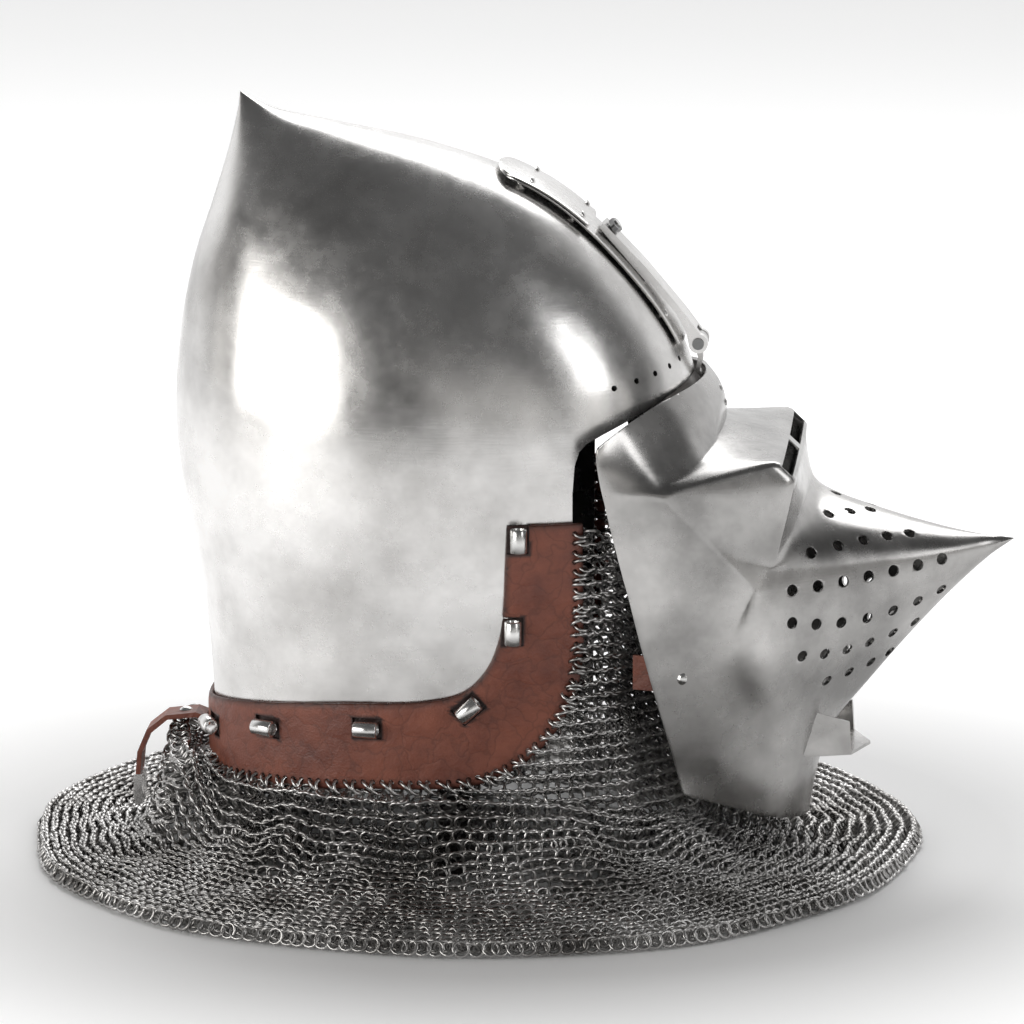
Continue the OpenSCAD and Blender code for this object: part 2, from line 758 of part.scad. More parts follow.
curtain_rows = 6;
curtain_side = [9, 18, 27, 36, 44, 50, curtain_end, 57, 60, 66, 72, 78];
curtain_angles = concat([for (i = [len(curtain_side) - 1:-1:0]) -curtain_side[i]], [0],
    curtain_side);

// Distance of the mail's inner face from the neck: inside the face opening, outside the bowl
function curtain_out(ang, f) = lookup(abs(ang), [[curtain_end, mix(-7, 1, f)], [58, 1.2]]);

function curtain_grid(out) = [for (i = [0:curtain_rows]) [for (a = curtain_angles)
    let (f = i / curtain_rows, z = mix(upper_edge(a), neck_height(abs(a)) + 2, f))
    neck_at(max(z, 20), a, out + curtain_out(a, f))]];

module mail_curtain() {
    color(dark_steel) plate(curtain_grid(curtain_t), curtain_grid(0));
}

// ---------- chin straps ----------

module at_strap(z) {
    translate([chin_strap_x, chin_strap_y, z]) children();
}

module cross_bar(d, length) {
    rotate([0, 90, 0]) cylinder(d = d, h = length, center = true, $fn = 32);
}

module strap_rivet_hole() {
    at_strap(strap_rivet_z) rotate([90, 0, 0]) cylinder(d = 3, h = 12, center = true, $fn = 24);
}

// Straight strap from its top end down to the height low
module hanging_strap(low) {
    at_strap((strap_top_z + low) / 2)
        cube([chin_strap_w, strap_thick, strap_top_z - low], center = true);
}

// The long half hangs to the table, bends and lies inwards
module long_strap() {
    bend_z = fold_r + strap_thick / 2 + 0.4;
    difference() {
        union() {
            hanging_strap(bend_z);
            at_strap(bend_z) translate([0, -fold_r, 0]) rotate([0, 90, 0]) intersection() {
                difference() {
                    cylinder(r = fold_r + strap_thick / 2, h = chin_strap_w, center = true,
                        $fn = 64);
                    cylinder(r = fold_r - strap_thick / 2, h = chin_strap_w + 1, center = true,
                        $fn = 64);
                }
                translate([0, 0, -chin_strap_w])
                    cube([2 * fold_r, 2 * fold_r, 2 * chin_strap_w]);
            }
            at_strap(bend_z - fold_r) translate([0, -fold_r - strap_lay / 2, 0])
                cube([chin_strap_w, strap_lay, strap_thick], center = true);
        }
        strap_rivet_hole();
        for (i = [0:4]) at_strap(0) translate([0, -fold_r - strap_lay + 12 + 14 * i, 0])
            cylinder(d = 3, h = 12, center = true, $fn = 24);
    }
}

module chin_strap_right() {
    color(leather) mirror([0, 1, 0]) long_strap();
}

module chin_strap_left() {
    color(leather) difference() {
        union() {
            hanging_strap(buckle_z + 2);
            at_strap(buckle_z) cross_bar(bar_d + 2 * strap_thick, chin_strap_w);
        }
        at_strap(buckle_z) {
            cross_bar(bar_d + 0.2, chin_strap_w + 2);
            cube([4.4, 12, 14], center = true);
        }
        strap_rivet_hole();
    }
}

module chin_buckle() {
    color(steel) {
        at_strap(buckle_z) cross_bar(bar_d, buckle_w - 2);
        at_strap(buckle_z - buckle_h / 2) difference() {
            cube([buckle_w, bar_d, buckle_h + 4], center = true);
            translate([0, 0, 1]) cube([buckle_w - 6, bar_d + 2, buckle_h], center = true);
            translate([0, 0, buckle_h / 2 + 1])
                cube([buckle_w - 6, bar_d + 2, 8], center = true);
        }
    }
}

module buckle_prong() {
    color(dark_steel) at_strap(buckle_z) difference() {
        union() {
            cross_bar(eye_d, 3);
            translate([0, -bar_d - 0.4, -buckle_h - 1]) cylinder(d = prong_d, h = buckle_h,
                $fn = 24);
        }
        cross_bar(bar_d + 2 * run_gap, 6);
    }
}

module chin_strap_rivets() {
    color(steel) mirrored_pair() at_strap(strap_rivet_z) translate([0, -strap_thick / 2, 0])
        rotate([90, 0, 0]) rivet(rivet_d, 2.9, 5);
}

// ---------- rear strap ----------

rear_side = [[-160.6, 66], [-166, 68], [-182, 66], [-192, 58], [-197, 46], [-198, 34],
    [-195.6, 34], [-194.6, 45], [-190, 56], [-181, 63.6], [-166, 65.4], [-160.6, 63.4]];

module rear_strap() {
    color(leather) across(18) polygon(rear_side);
}

module rear_strap_tip() {
    color(steel) translate([-196.8, 0, 26]) cube([4.4, 19, 15.9], center = true);
}

module rear_strap_rivet() {
    color(steel) translate([-172, 0, 67.4]) rivet(rivet_d, 2.9, 5);
}

// ---------- nodes ----------

skull_bowl();
hinge_base_plate();
hinge_cover_plate();
base_plate_rivets();
strap_staple();
turn_pin();
hinge_strap();
hinge_pin();
visor_leaf();
visor_leaf_rivets();
visor_plate();
mouth_box();
leather_band();
band_staples_right();
band_staples_left();
edge_rings_right();
edge_rings_left();
edge_rings_rear();
mail_curtain();
mail_skirt();
liner_pad();
liner_rim();
chin_strap_right();
chin_strap_left();
chin_buckle();
buckle_prong();
chin_strap_rivets();
visor_tab_right();
visor_tab_left();
visor_tab_rivets();
rear_strap();
rear_strap_tip();
rear_strap_rivet();
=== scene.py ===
import math
import random

import bmesh
import bpy
import numpy as np
from mathutils import Matrix, Vector, kdtree, noise


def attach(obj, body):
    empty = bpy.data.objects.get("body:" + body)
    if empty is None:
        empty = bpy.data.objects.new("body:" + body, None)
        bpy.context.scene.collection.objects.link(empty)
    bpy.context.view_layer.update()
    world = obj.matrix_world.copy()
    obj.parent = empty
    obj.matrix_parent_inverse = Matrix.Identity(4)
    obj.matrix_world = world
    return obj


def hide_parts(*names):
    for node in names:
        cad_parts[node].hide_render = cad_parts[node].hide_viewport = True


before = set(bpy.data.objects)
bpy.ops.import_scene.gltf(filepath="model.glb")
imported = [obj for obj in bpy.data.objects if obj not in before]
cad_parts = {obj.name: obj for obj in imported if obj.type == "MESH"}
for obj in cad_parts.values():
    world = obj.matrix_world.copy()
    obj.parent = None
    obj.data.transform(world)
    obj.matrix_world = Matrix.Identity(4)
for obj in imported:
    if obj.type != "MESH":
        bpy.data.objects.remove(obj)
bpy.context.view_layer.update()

MM = 0.001
DRAW = random.Random(7)

# ---------- sizes, in millimetres ----------

SKULL_T = 2.0
VISOR_T = 1.6
BREATH_D = 6.2
SEWING_D = 3.0
SIGHT_BRIDGE = 5.0
SIGHT_HALF = 70.0
BAND_T = 3.0
BAND_AIR = 0.6
PLATE_T = 1.6
BASE_W = 42.0
COVER_GAP = 1.0
COVER_END = 4.4
PLATE_FLAT = 0.5
TUBE_D = 8.6
TUBE_BORE = 5.8
TUBE_LEN = 12.5
MAIL_X = -20.0
MAIL_R = 239.0
RING_R = 3.95       # mean radius of a mail ring
RING_WIRE = 0.9     # radius of its wire
LINER_T = 9.0
LINER_AIR = 1.5
LINER_BACK = 38.0   # the cap stops this far behind the face opening
LACE_PITCH = 5.0
LACE_INSET = 5.0    # from the leather's edge to the lace holes
LACE_HOLE = 2.8
STAPLE_SINK = 1.2   # how far a staple sits into the leather's slot
SLOT_DEPTH = 2.3
SLOT_REACH = 12.0   # how far the slot's cutter stands out of the leather
# painted shadow: the leather is darkened fully this far round each staple slot
SLOT_SHADOW = 0.7    # width of the dark edge round a slot
SLOT_HALF = (TUBE_LEN / 2 + 1.4, TUBE_D / 2 + 1.2)
ROW_PITCH = 3.4
RING_PITCH = 6.3
RINGS_A_PIECE = 1300
RUMPLE = 0.012      # how far the rows of spread mail wander, as a share of its reach
NECK_GIRTH = 690.0  # round the hanging mail
# how strongly the floor glows as painted light; under the helmet it fades to a painted shadow
FLOOR_PAINTED_GLOW = 0.5
CAMERA_TURN = 4.6   # degrees round from straight at the helmet's right side
CAMERA_RISE = 12.5
CAMERA_FAR = 4.0
CAMERA_WIDTH = 0.5325   # metres seen across at the target
CAMERA_TARGET = (-0.0005, 0, 0.1764)
SENSOR = 36
BRUSH_STRENGTH = 0.25
DENT_STRENGTH = 0.4

SEWING_ANGLES = [12, 20, 28, 36, 44]
BAND_REAR = 5       # stations from the last one above to the back of the neck
FRONT_COLS = 8      # columns of the visor's net on the snout, the turn and the cheek
TURN_COLS = 2
CHEEK_COLS = 3
BOX_FACES = ((0, 1, 3, 2), (4, 6, 7, 5), (0, 4, 5, 1), (2, 3, 7, 6), (0, 2, 6, 4), (1, 5, 7, 3))

# Skull rows from the apex down: rear x and z, front x and z, half width
SKULL_ROWS = np.array([
    [-141, 396, -141, 396, 0], [-142.5, 386, -122, 387, 8], [-147, 367, -88, 380, 24],
    [-155, 341, -35, 368, 46], [-165, 311, 19, 346, 65], [-172, 276, 62, 307, 82],
    [-175, 236, 91, 262, 93], [-172, 196, 99, 206, 96], [-164, 155, 100, 158, 93],
    [-159, 118, 96, 118, 89], [-156.5, 84, 93, 84, 87], [-156, 60, 92, 60, 87]], float)
ROUND_POW = 2 / 2.2

BROW_FRONT = (94, 253)
FACE_OUTLINE = [(200, 298.2), BROW_FRONT, (52, 234), (44, 230), (40.2, 226), (38, 219), (37, 205),
                (37, 20), (200, 20)]

SNOUT_TIP = np.array([259.0, 0, 167])
SNOUT_BACK = np.array([168.0, 0, 137])
SNOUT_PINCH = 1.25
SNOUT_FOOT = np.array([
    [157, 0, 192], [153, 30, 187], [146.5, 52, 178], [138, 67, 167], [130, 76, 152],
    [128, 79, 132], [133, 73, 110], [150, 47, 91], [179, 0, 82]], float)
# Rows of breath holes: count, foot place and reach at the rear, the same at the front
BREATH_ROWS = [(3, 1.08, 0.89, 0.36, 0.72), (5, 2.7, 0.87, 1.42, 0.5),
               (7, 4.08, 0.87, 4.42, 0.3), (7, 5.08, 0.86, 7.16, 0.36),
               (6, 6.11, 0.86, 7.61, 0.56), (4, 7.09, 0.89, 7.76, 0.74)]

# Band stations on one side: outer edge x and z, inner edge x and z
BAND_FRONT = np.array([
    [41, 190, 4, 190], [41, 168, 3, 168], [41, 145, 2, 147], [41, 122, 0, 130],
    [38, 102, -6, 114], [29, 82, -17, 102], [14, 65, -34, 96.5], [-6, 54, -54, 94.5],
    [-32, 50, -76, 93.5], [-62, 49, -98, 91.5], [-92, 47, -118, 89]], float)
BAND_REAR_LOW = 40.5
BAND_REAR_HIGH = 79.0
# Tubular staples on one side: x, z, turn from level
STAPLES = [(9, 183, 90), (6, 134, 90), (-16, 93, 42), (-67, 81, 0), (-119, 76, 0), (-150, 68, 0)]



# ---------- curves ----------

def mix(a, b, t):
    return a + (b - a) * t


def spline(points, t):
    """Smooth curve through the points; t counts points from the first."""
    t = np.asarray(t, float)
    last = len(points) - 1
    i = np.clip(np.floor(t).astype(int), 0, last - 1)
    f = (t - i)[..., None]
    a, b = points[np.maximum(i - 1, 0)], points[i]
    c, d = points[i + 1], points[np.minimum(i + 2, last)]
    return 0.5 * (2 * b + (c - a) * f + (2 * a - 5 * b + 4 * c - d) * f ** 2
                  + (3 * b - a - 3 * c + d) * f ** 3)


def full(v):
    return np.sign(v) * np.abs(v) ** ROUND_POW


def skull_at(t, ang, out):
    """Point on the skull: row place, angle from the front in degrees, distance out."""
    t, ang = np.broadcast_arrays(np.asarray(t, float), np.asarray(ang, float))
    r = spline(SKULL_ROWS, t)
    hx, hz = (r[..., 2] - r[..., 0]) / 2, (r[..., 3] - r[..., 1]) / 2
    a = np.maximum(np.hypot(hx, hz), 0.01)
    k = np.maximum(a + out, 0.01) / a
    c = full(np.cos(np.radians(ang)))
    s = full(np.sin(np.radians(ang)))
    return np.stack([(r[..., 0] + r[..., 2]) / 2 + hx * k * c,
                     np.maximum(r[..., 4] + out, 0.01) * s,
                     (r[..., 1] + r[..., 3]) / 2 + hz * k * c], -1)


def neck_t(z):
    """Row place of the level neck section at height z."""
    return np.interp(z, [60, 84, 118, 156.5, 201], [11, 10, 9, 8, 7], left=11, right=7)


def neck_at(z, ang, out):
    p = skull_at(neck_t(np.asarray(z, float)), ang, out)
    p[..., 2] = z
    return p


def neck_ang(z, x):
    """Angle from the front at which the neck section at height z reaches x."""
    r = spline(SKULL_ROWS, neck_t(np.asarray(z, float)))
    c = np.clip((2 * np.asarray(x) - r[..., 0] - r[..., 2]) / (r[..., 2] - r[..., 0]), -1, 1)
    return np.degrees(np.arccos(np.sign(c) * np.abs(c) ** (1 / ROUND_POW)))


def row_ang(t, y):
    w = spline(SKULL_ROWS, t)[..., 4]
    return np.degrees(np.arcsin(np.sign(y) * (np.abs(y) / w) ** (1 / ROUND_POW)))


def snout(place, reach):
    place, reach = np.broadcast_arrays(np.asarray(place, float), np.asarray(reach, float))
    reach = reach[..., None]
    return (SNOUT_TIP + reach * (SNOUT_BACK - SNOUT_TIP)
            + reach ** SNOUT_PINCH * (spline(SNOUT_FOOT, place) - SNOUT_BACK))


# ---------- mesh helpers ----------

def grid_quads(rows, cols, wrap=False, start=0, flip=False):
    i = np.arange(rows - 1)[:, None]
    j = np.arange(cols if wrap else cols - 1)[None, :]
    k = (j + 1) % cols
    quads = np.stack(np.broadcast_arrays(i * cols + j, (i + 1) * cols + j,
                                         (i + 1) * cols + k, i * cols + k), -1).reshape(-1, 4)
    return start + (quads[:, ::-1] if flip else quads)


def make_mesh(name, verts, faces, smooth=True):
    """Mesh object from millimetre points."""
    mesh = bpy.data.meshes.new(name)
    mesh.from_pydata((np.asarray(verts, float) * MM).tolist(), [], [list(f) for f in faces])
    if smooth:
        mesh.polygons.foreach_set("use_smooth", [True] * len(mesh.polygons))
    mesh.update()
    piece = bpy.data.objects.new(name, mesh)
    bpy.context.scene.collection.objects.link(piece)
    return piece


def plate_mesh(name, outer, inner, smooth=True):
    """Closed plate between two grids of points of the same size."""
    m, n = outer.shape[:2]
    verts = np.concatenate([outer.reshape(-1, 3), inner.reshape(-1, 3)])
    s = m * n
    faces = [grid_quads(m, n, flip=True), grid_quads(m, n, start=s)]
    top = np.arange(n - 1)
    side = np.arange(m - 1) * n
    low = (m - 1) * n + top
    faces.append(np.stack([top + 1, top, s + top, s + top + 1], -1))
    faces.append(np.stack([low, low + 1, s + low + 1, s + low], -1))
    faces.append(np.stack([side, side + n, s + side + n, s + side], -1))
    right = side + n - 1
    faces.append(np.stack([right + n, right, s + right, s + right + n], -1))
    return make_mesh(name, verts, np.concatenate(faces), smooth)


def apply_all(piece):
    """Replaces the piece's mesh with the one its modifiers give."""
    deps = bpy.context.evaluated_depsgraph_get()
    mesh = bpy.data.meshes.new_from_object(piece.evaluated_get(deps))
    old = piece.data
    piece.modifiers.clear()
    piece.data = mesh
    mesh.name = piece.name
    bpy.data.meshes.remove(old)


def cut(piece, cutter):
    m = piece.modifiers.new("cut", "BOOLEAN")
    m.operation = "DIFFERENCE"
    m.solver = "EXACT"
    m.object = cutter
    apply_all(piece)
    mesh = cutter.data
    bpy.data.objects.remove(cutter)
    bpy.data.meshes.remove(mesh)


def bevel(piece, width, segments=2, angle=40):
    m = piece.modifiers.new("bevel", "BEVEL")
    m.width = width * MM
    m.segments = segments
    m.limit_method = "ANGLE"
    m.angle_limit = math.radians(angle)
    m.harden_normals = False
    return m


def sharpen(piece, angle=35):
    piece.data.polygons.foreach_set("use_smooth", [True] * len(piece.data.polygons))
    piece.data.set_sharp_from_angle(angle=math.radians(angle))


def joined_cylinders(name, places, radius, length, sides=20):
    """One mesh of cylinders: places are (centre, direction) pairs."""
    verts, faces = [], []
    ring = [(math.cos(2 * math.pi * k / sides), math.sin(2 * math.pi * k / sides))
            for k in range(sides)]
    for centre, way in places:
        turn = Vector(way).normalized().to_track_quat("Z", "Y").to_matrix()
        start = len(verts)
        for z in (-length / 2, length / 2):
            for x, y in ring:
                verts.append(Vector(centre) + turn @ Vector((x * radius, y * radius, z)))
        faces.append([start + k for k in range(sides)][::-1])
        faces.append([start + sides + k for k in range(sides)])
        for k in range(sides):
            n = (k + 1) % sides
            faces.append([start + k, start + n, start + sides + n, start + sides + k])
    return make_mesh(name, [tuple(v) for v in verts], faces, smooth=False)


def fix_normals(piece):
    bm = bmesh.new()
    bm.from_mesh(piece.data)
    bmesh.ops.recalc_face_normals(bm, faces=bm.faces)
    bm.to_mesh(piece.data)
    bm.free()


def prism(name, outline, half):
    """Solid of a side-view outline, half millimetres each way along Y."""
    n = len(outline)
    verts = [(x, -half, z) for x, z in outline] + [(x, half, z) for x, z in outline]
    faces = [list(range(n)), list(range(n, 2 * n))[::-1]]
    faces += [[(i + 1) % n, i, n + i, n + (i + 1) % n] for i in range(n)]
    piece = make_mesh(name, verts, faces, smooth=False)
    fix_normals(piece)
    return piece


def hammered(points, normals, depth, size):
    """Points moved along their normals by the soft waves that hammering leaves."""
    out = points.copy()
    for k in range(len(points)):
        p = Vector(points[k]) / size
        wave = noise.noise(p) + 0.35 * noise.noise(p * 2.7)
        out[k] += normals[k] * (depth * wave)
    return out


def grid_normals(g, wrap=False):
    du = np.gradient(g, axis=0)
    if wrap:
        dv = np.roll(g, -1, 1) - np.roll(g, 1, 1)
    else:
        dv = np.gradient(g, axis=1)
    n = np.cross(du, dv)
    return n / np.maximum(np.linalg.norm(n, axis=-1, keepdims=True), 1e-9)


# ---------- materials ----------

def new_material(name):
    mat = bpy.data.materials.new(name)
    mat.use_nodes = True
    nodes = mat.node_tree.nodes
    return mat, nodes, mat.node_tree.links, nodes["Principled BSDF"]


def add(nodes, kind, **values):
    node = nodes.new(kind)
    for key, value in values.items():
        setattr(node, key, value)
    return node


def noise_node(nodes, links, source, scale, detail=4, rough=0.55):
    node = add(nodes, "ShaderNodeTexNoise")
    node.inputs["Scale"].default_value = scale
    node.inputs["Detail"].default_value = detail
    node.inputs["Roughness"].default_value = rough
    links.new(source, node.inputs["Vector"])
    return node


def ramp(nodes, links, source, low, high, stops=(0.35, 0.65)):
    node = add(nodes, "ShaderNodeValToRGB")
    node.color_ramp.elements[0].position = stops[0]
    node.color_ramp.elements[1].position = stops[1]
    node.color_ramp.elements[0].color = (*low, 1)
    node.color_ramp.elements[1].color = (*high, 1)
    links.new(source, node.inputs["Fac"])
    return node


def to_range(nodes, links, source, low, high, start=0.3, end=0.7):
    node = add(nodes, "ShaderNodeMapRange")
    node.inputs["From Min"].default_value = start
    node.inputs["From Max"].default_value = end
    node.inputs["To Min"].default_value = low
    node.inputs["To Max"].default_value = high
    links.new(source, node.inputs["Value"])
    return node


def bump(nodes, links, height, strength, distance, below=None):
    node = add(nodes, "ShaderNodeBump")
    node.inputs["Strength"].default_value = strength
    node.inputs["Distance"].default_value = distance
    links.new(height, node.inputs["Height"])
    if below is not None:
        links.new(below, node.inputs["Normal"])
    return node


def place(nodes, links, stretch=(1, 1, 1)):
    coord = add(nodes, "ShaderNodeTexCoord")
    mapping = add(nodes, "ShaderNodeMapping")
    mapping.inputs["Scale"].default_value = stretch
    links.new(coord.outputs["Object"], mapping.inputs["Vector"])
    return mapping.outputs["Vector"]


def steel_material(name, dark, light, rough, brush=(60, 60, 900)):
    """Polished steel: fine brush lines, faint cloudy stains and uneven gloss."""
    mat, nodes, links, bsdf = new_material(name)
    bsdf.inputs["Metallic"].default_value = 1.0
    plain = place(nodes, links)
    clouds = noise_node(nodes, links, plain, 14, 5, 0.6)
    colour = ramp(nodes, links, clouds.outputs["Fac"], dark, light)
    links.new(colour.outputs["Color"], bsdf.inputs["Base Color"])
    spots = noise_node(nodes, links, plain, 45, 6, 0.7)
    gloss = to_range(nodes, links, spots.outputs["Fac"], rough[0], rough[1])
    links.new(gloss.outputs["Result"], bsdf.inputs["Roughness"])
    lines = noise_node(nodes, links, place(nodes, links, brush), 1, 3, 0.5)
    fine = bump(nodes, links, lines.outputs["Fac"], BRUSH_STRENGTH, 0.00006)
    dents = noise_node(nodes, links, plain, 30, 2, 0.4)
    soft = bump(nodes, links, dents.outputs["Fac"], DENT_STRENGTH, 0.0014, fine.outputs["Normal"])
    links.new(soft.outputs["Normal"], bsdf.inputs["Normal"])
    return mat


def leather_material(name, dark, light, edge):
    """Waxed leather: pebble grain, creases with painted shade in them, cloudy colour, edges darker
    from wear and painted shadow round the staple slots.
    """
    mat, nodes, links, bsdf = new_material(name)
    plain = place(nodes, links)
    clouds = noise_node(nodes, links, plain, 38, 6, 0.65)
    colour = ramp(nodes, links, clouds.outputs["Fac"], dark, light, (0.3, 0.7))
    veins = add(nodes, "ShaderNodeTexVoronoi", feature="DISTANCE_TO_EDGE")
    veins.inputs["Scale"].default_value = 70
    warp = noise_node(nodes, links, plain, 30, 3, 0.6)
    shift = add(nodes, "ShaderNodeMixRGB", blend_type="ADD")
    shift.inputs["Fac"].default_value = 0.05
    links.new(plain, shift.inputs["Color1"])
    links.new(warp.outputs["Color"], shift.inputs["Color2"])
    links.new(shift.outputs["Color"], veins.inputs["Vector"])
    # painted shade: the colour is darkened towards the edge colour along the creases
    crease = to_range(nodes, links, veins.outputs["Distance"], 1, 0, 0, 0.06)
    wear_and_shade = add(nodes, "ShaderNodeMixRGB")
    wear_and_shade.inputs["Color2"].default_value = (*edge, 1)
    links.new(colour.outputs["Color"], wear_and_shade.inputs["Color1"])
    # this attribute brings in the edges darker from wear and the painted shadow round the staple
    # slots
    wear_and_slot_shade = add(nodes, "ShaderNodeAttribute", attribute_name="wear_and_slot_shade")
    share = add(nodes, "ShaderNodeMath", operation="MULTIPLY_ADD")
    share.inputs[1].default_value = 0.28
    links.new(crease.outputs["Result"], share.inputs[0])
    links.new(wear_and_slot_shade.outputs["Fac"], share.inputs[2])
    links.new(share.outputs["Value"], wear_and_shade.inputs["Fac"])
    links.new(wear_and_shade.outputs["Color"], bsdf.inputs["Base Color"])
    grain = add(nodes, "ShaderNodeTexVoronoi")
    grain.inputs["Scale"].default_value = 900
    links.new(plain, grain.inputs["Vector"])
    gloss = to_range(nodes, links, clouds.outputs["Fac"], 0.38, 0.6)
    links.new(gloss.outputs["Result"], bsdf.inputs["Roughness"])
    pebble = bump(nodes, links, grain.outputs["Distance"], 0.5, 0.0003)
    folds = bump(nodes, links, veins.outputs["Distance"], 0.35, 0.002, pebble.outputs["Normal"])
    links.new(folds.outputs["Normal"], bsdf.inputs["Normal"])
    return mat


def cloth_material(name, dark, light):
    mat, nodes, links, bsdf = new_material(name)
    plain = place(nodes, links)
    clouds = noise_node(nodes, links, plain, 60, 5, 0.6)
    colour = ramp(nodes, links, clouds.outputs["Fac"], dark, light)
    links.new(colour.outputs["Color"], bsdf.inputs["Base Color"])
    bsdf.inputs["Roughness"].default_value = 0.95
    bsdf.inputs["Sheen Weight"].default_value = 0.25
    warp = add(nodes, "ShaderNodeTexWave", bands_direction="X")
    weft = add(nodes, "ShaderNodeTexWave", bands_direction="Z")
    for wave in (warp, weft):
        wave.inputs["Scale"].default_value = 320
        links.new(plain, wave.inputs["Vector"])
    weave = add(nodes, "ShaderNodeMath", operation="MULTIPLY")
    links.new(warp.outputs["Fac"], weave.inputs[0])
    links.new(weft.outputs["Fac"], weave.inputs[1])
    thread = bump(nodes, links, weave.outputs["Value"], 0.6, 0.0004)
    links.new(thread.outputs["Normal"], bsdf.inputs["Normal"])
    return mat


SKULL_STEEL = steel_material("skull_steel", (0.52, 0.51, 0.5), (0.8, 0.79, 0.78), (0.2, 0.32))
# painted shade: the visor's steel is a darker copy of the skull's steel, so that the visor reads
# darker under the light
VISOR_SHADED_STEEL = steel_material("visor_steel", (0.27, 0.265, 0.26), (0.54, 0.53, 0.52), (0.2, 0.32))
FITTING_STEEL = steel_material("fitting_steel", (0.6, 0.6, 0.59), (0.82, 0.81, 0.8),
                               (0.18, 0.34), (300, 300, 300))
DARK_STEEL = steel_material("dark_steel", (0.16, 0.16, 0.16), (0.34, 0.34, 0.34), (0.3, 0.5),
                            (300, 300, 300))
MAIL_STEEL = steel_material("mail_steel", (0.22, 0.21, 0.2), (0.62, 0.61, 0.6), (0.2, 0.36),
                            (300, 300, 300))
BROWN_LEATHER = leather_material("brown_leather", (0.13, 0.034, 0.02), (0.27, 0.085, 0.05),
                                 (0.03, 0.009, 0.006))
DARK_LEATHER = leather_material("dark_leather", (0.008, 0.005, 0.004), (0.022, 0.014, 0.01),
                                (0.004, 0.003, 0.002))
BLACK_CLOTH = cloth_material("black_cloth", (0.006, 0.006, 0.007), (0.02, 0.02, 0.022))


def finish_piece(piece, material, body, nodes=()):
    """Gives a piece its material and body, and hides the CAD nodes that it stands for."""
    piece.data.materials.clear()
    piece.data.materials.append(material)
    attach(piece, body)
    if nodes:
        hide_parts(*nodes)
    return piece


# ---------- skull ----------

def dome_mesh(name, first, last, inset, rows, cols, wave=0.0):
    """Closed dome of the skull's shape with a flat foot."""
    share = np.linspace(0, 1, rows + 1)[1:] ** 1.25
    t = mix(first, last, share)
    ang = np.arange(cols) * 360 / cols
    g = skull_at(t[:, None], ang[None, :], -inset)
    if wave:
        n = -grid_normals(g, wrap=True)
        centre = np.array([-40, 0, 200])
        flip = ((g - centre) * n).sum(-1) < 0
        n[flip] *= -1
        flat = hammered(g.reshape(-1, 3), n.reshape(-1, 3), wave, 42)
        g = flat.reshape(g.shape)
    tip = skull_at(first, 90, 0)
    tip[1] = 0
    foot = skull_at(last, 90, 0)
    foot[1] = 0
    verts = np.concatenate([[tip], g.reshape(-1, 3), [foot]])
    faces = [[0, 1 + j, 1 + (j + 1) % cols] for j in range(cols)]
    faces += [list(q) for q in grid_quads(rows, cols, wrap=True, start=1)]
    low = 1 + (rows - 1) * cols
    faces += [[1 + rows * cols, low + (j + 1) % cols, low + j] for j in range(cols)]
    return make_mesh(name, verts, faces)


def skull_bowl():
    rows, cols = ((150, 190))
    bowl = dome_mesh("skull_shell", 0, 11, 0, rows, cols, wave=0.3)
    inside = dome_mesh("cutter", 1.1, 11, SKULL_T, rows // 2, cols // 2)
    inside.data.transform(Matrix.Translation((0, 0, -0.01 * MM)))
    cut(bowl, inside)
    cut(bowl, prism("cutter", FACE_OUTLINE, 150))
    holes = []
    for ang in SEWING_ANGLES:
        p = skull_at(5.93 + ang / 400, ang, 0)
        for side in (1, -1):
            holes.append(((p[0], side * p[1], p[2]), (p[0] + 60, side * p[1], 40)))
    cut(bowl, joined_cylinders("cutter", holes, SEWING_D / 2, 12))
    sharpen(bowl)
    return finish_piece(bowl, SKULL_STEEL, "skull", ["skull_bowl"])


# ---------- visor ----------

def bend(a, b, c, t):
    return mix(mix(a, b, t), mix(b, c, t), t)


def row_side(turn, crease, rear):
    turn, crease, rear = (np.array(p, float) for p in (turn, crease, rear))
    return ([mix(turn, crease, i / TURN_COLS) for i in range(1, TURN_COLS + 1)]
            + [mix(crease, rear, i / CHEEK_COLS) for i in range(1, CHEEK_COLS + 1)])


def face_row(centre, turn, crease, rear):
    a = np.array([centre[0], 0, centre[1]], float)
    b = np.array([centre[0], turn[1] * 0.55, centre[1]], float)
    c = np.array(turn, float)
    return [bend(a, b, c, i / FRONT_COLS) for i in range(FRONT_COLS + 1)] + row_side(
        turn, crease, rear)


def snout_net(up, side):
    """Point of the snout's net: up is 1 at its top foot and -1 at its bottom foot, side 1 at
    its side foot."""
    reach = max(abs(up), side)
    share = 1 / reach if reach else 0
    if side >= abs(up):
        foot = mix(4, 3 if up > 0 else 6, abs(up) * share)
    else:
        foot = 3 * side * share if up > 0 else FOOT_END - 2 * side * share
    return snout(foot, reach)


def snout_row(step, crease, rear):
    front = [snout_net(step / 4, i / FRONT_COLS) for i in range(FRONT_COLS + 1)]
    return front + row_side(front[-1], crease, rear)


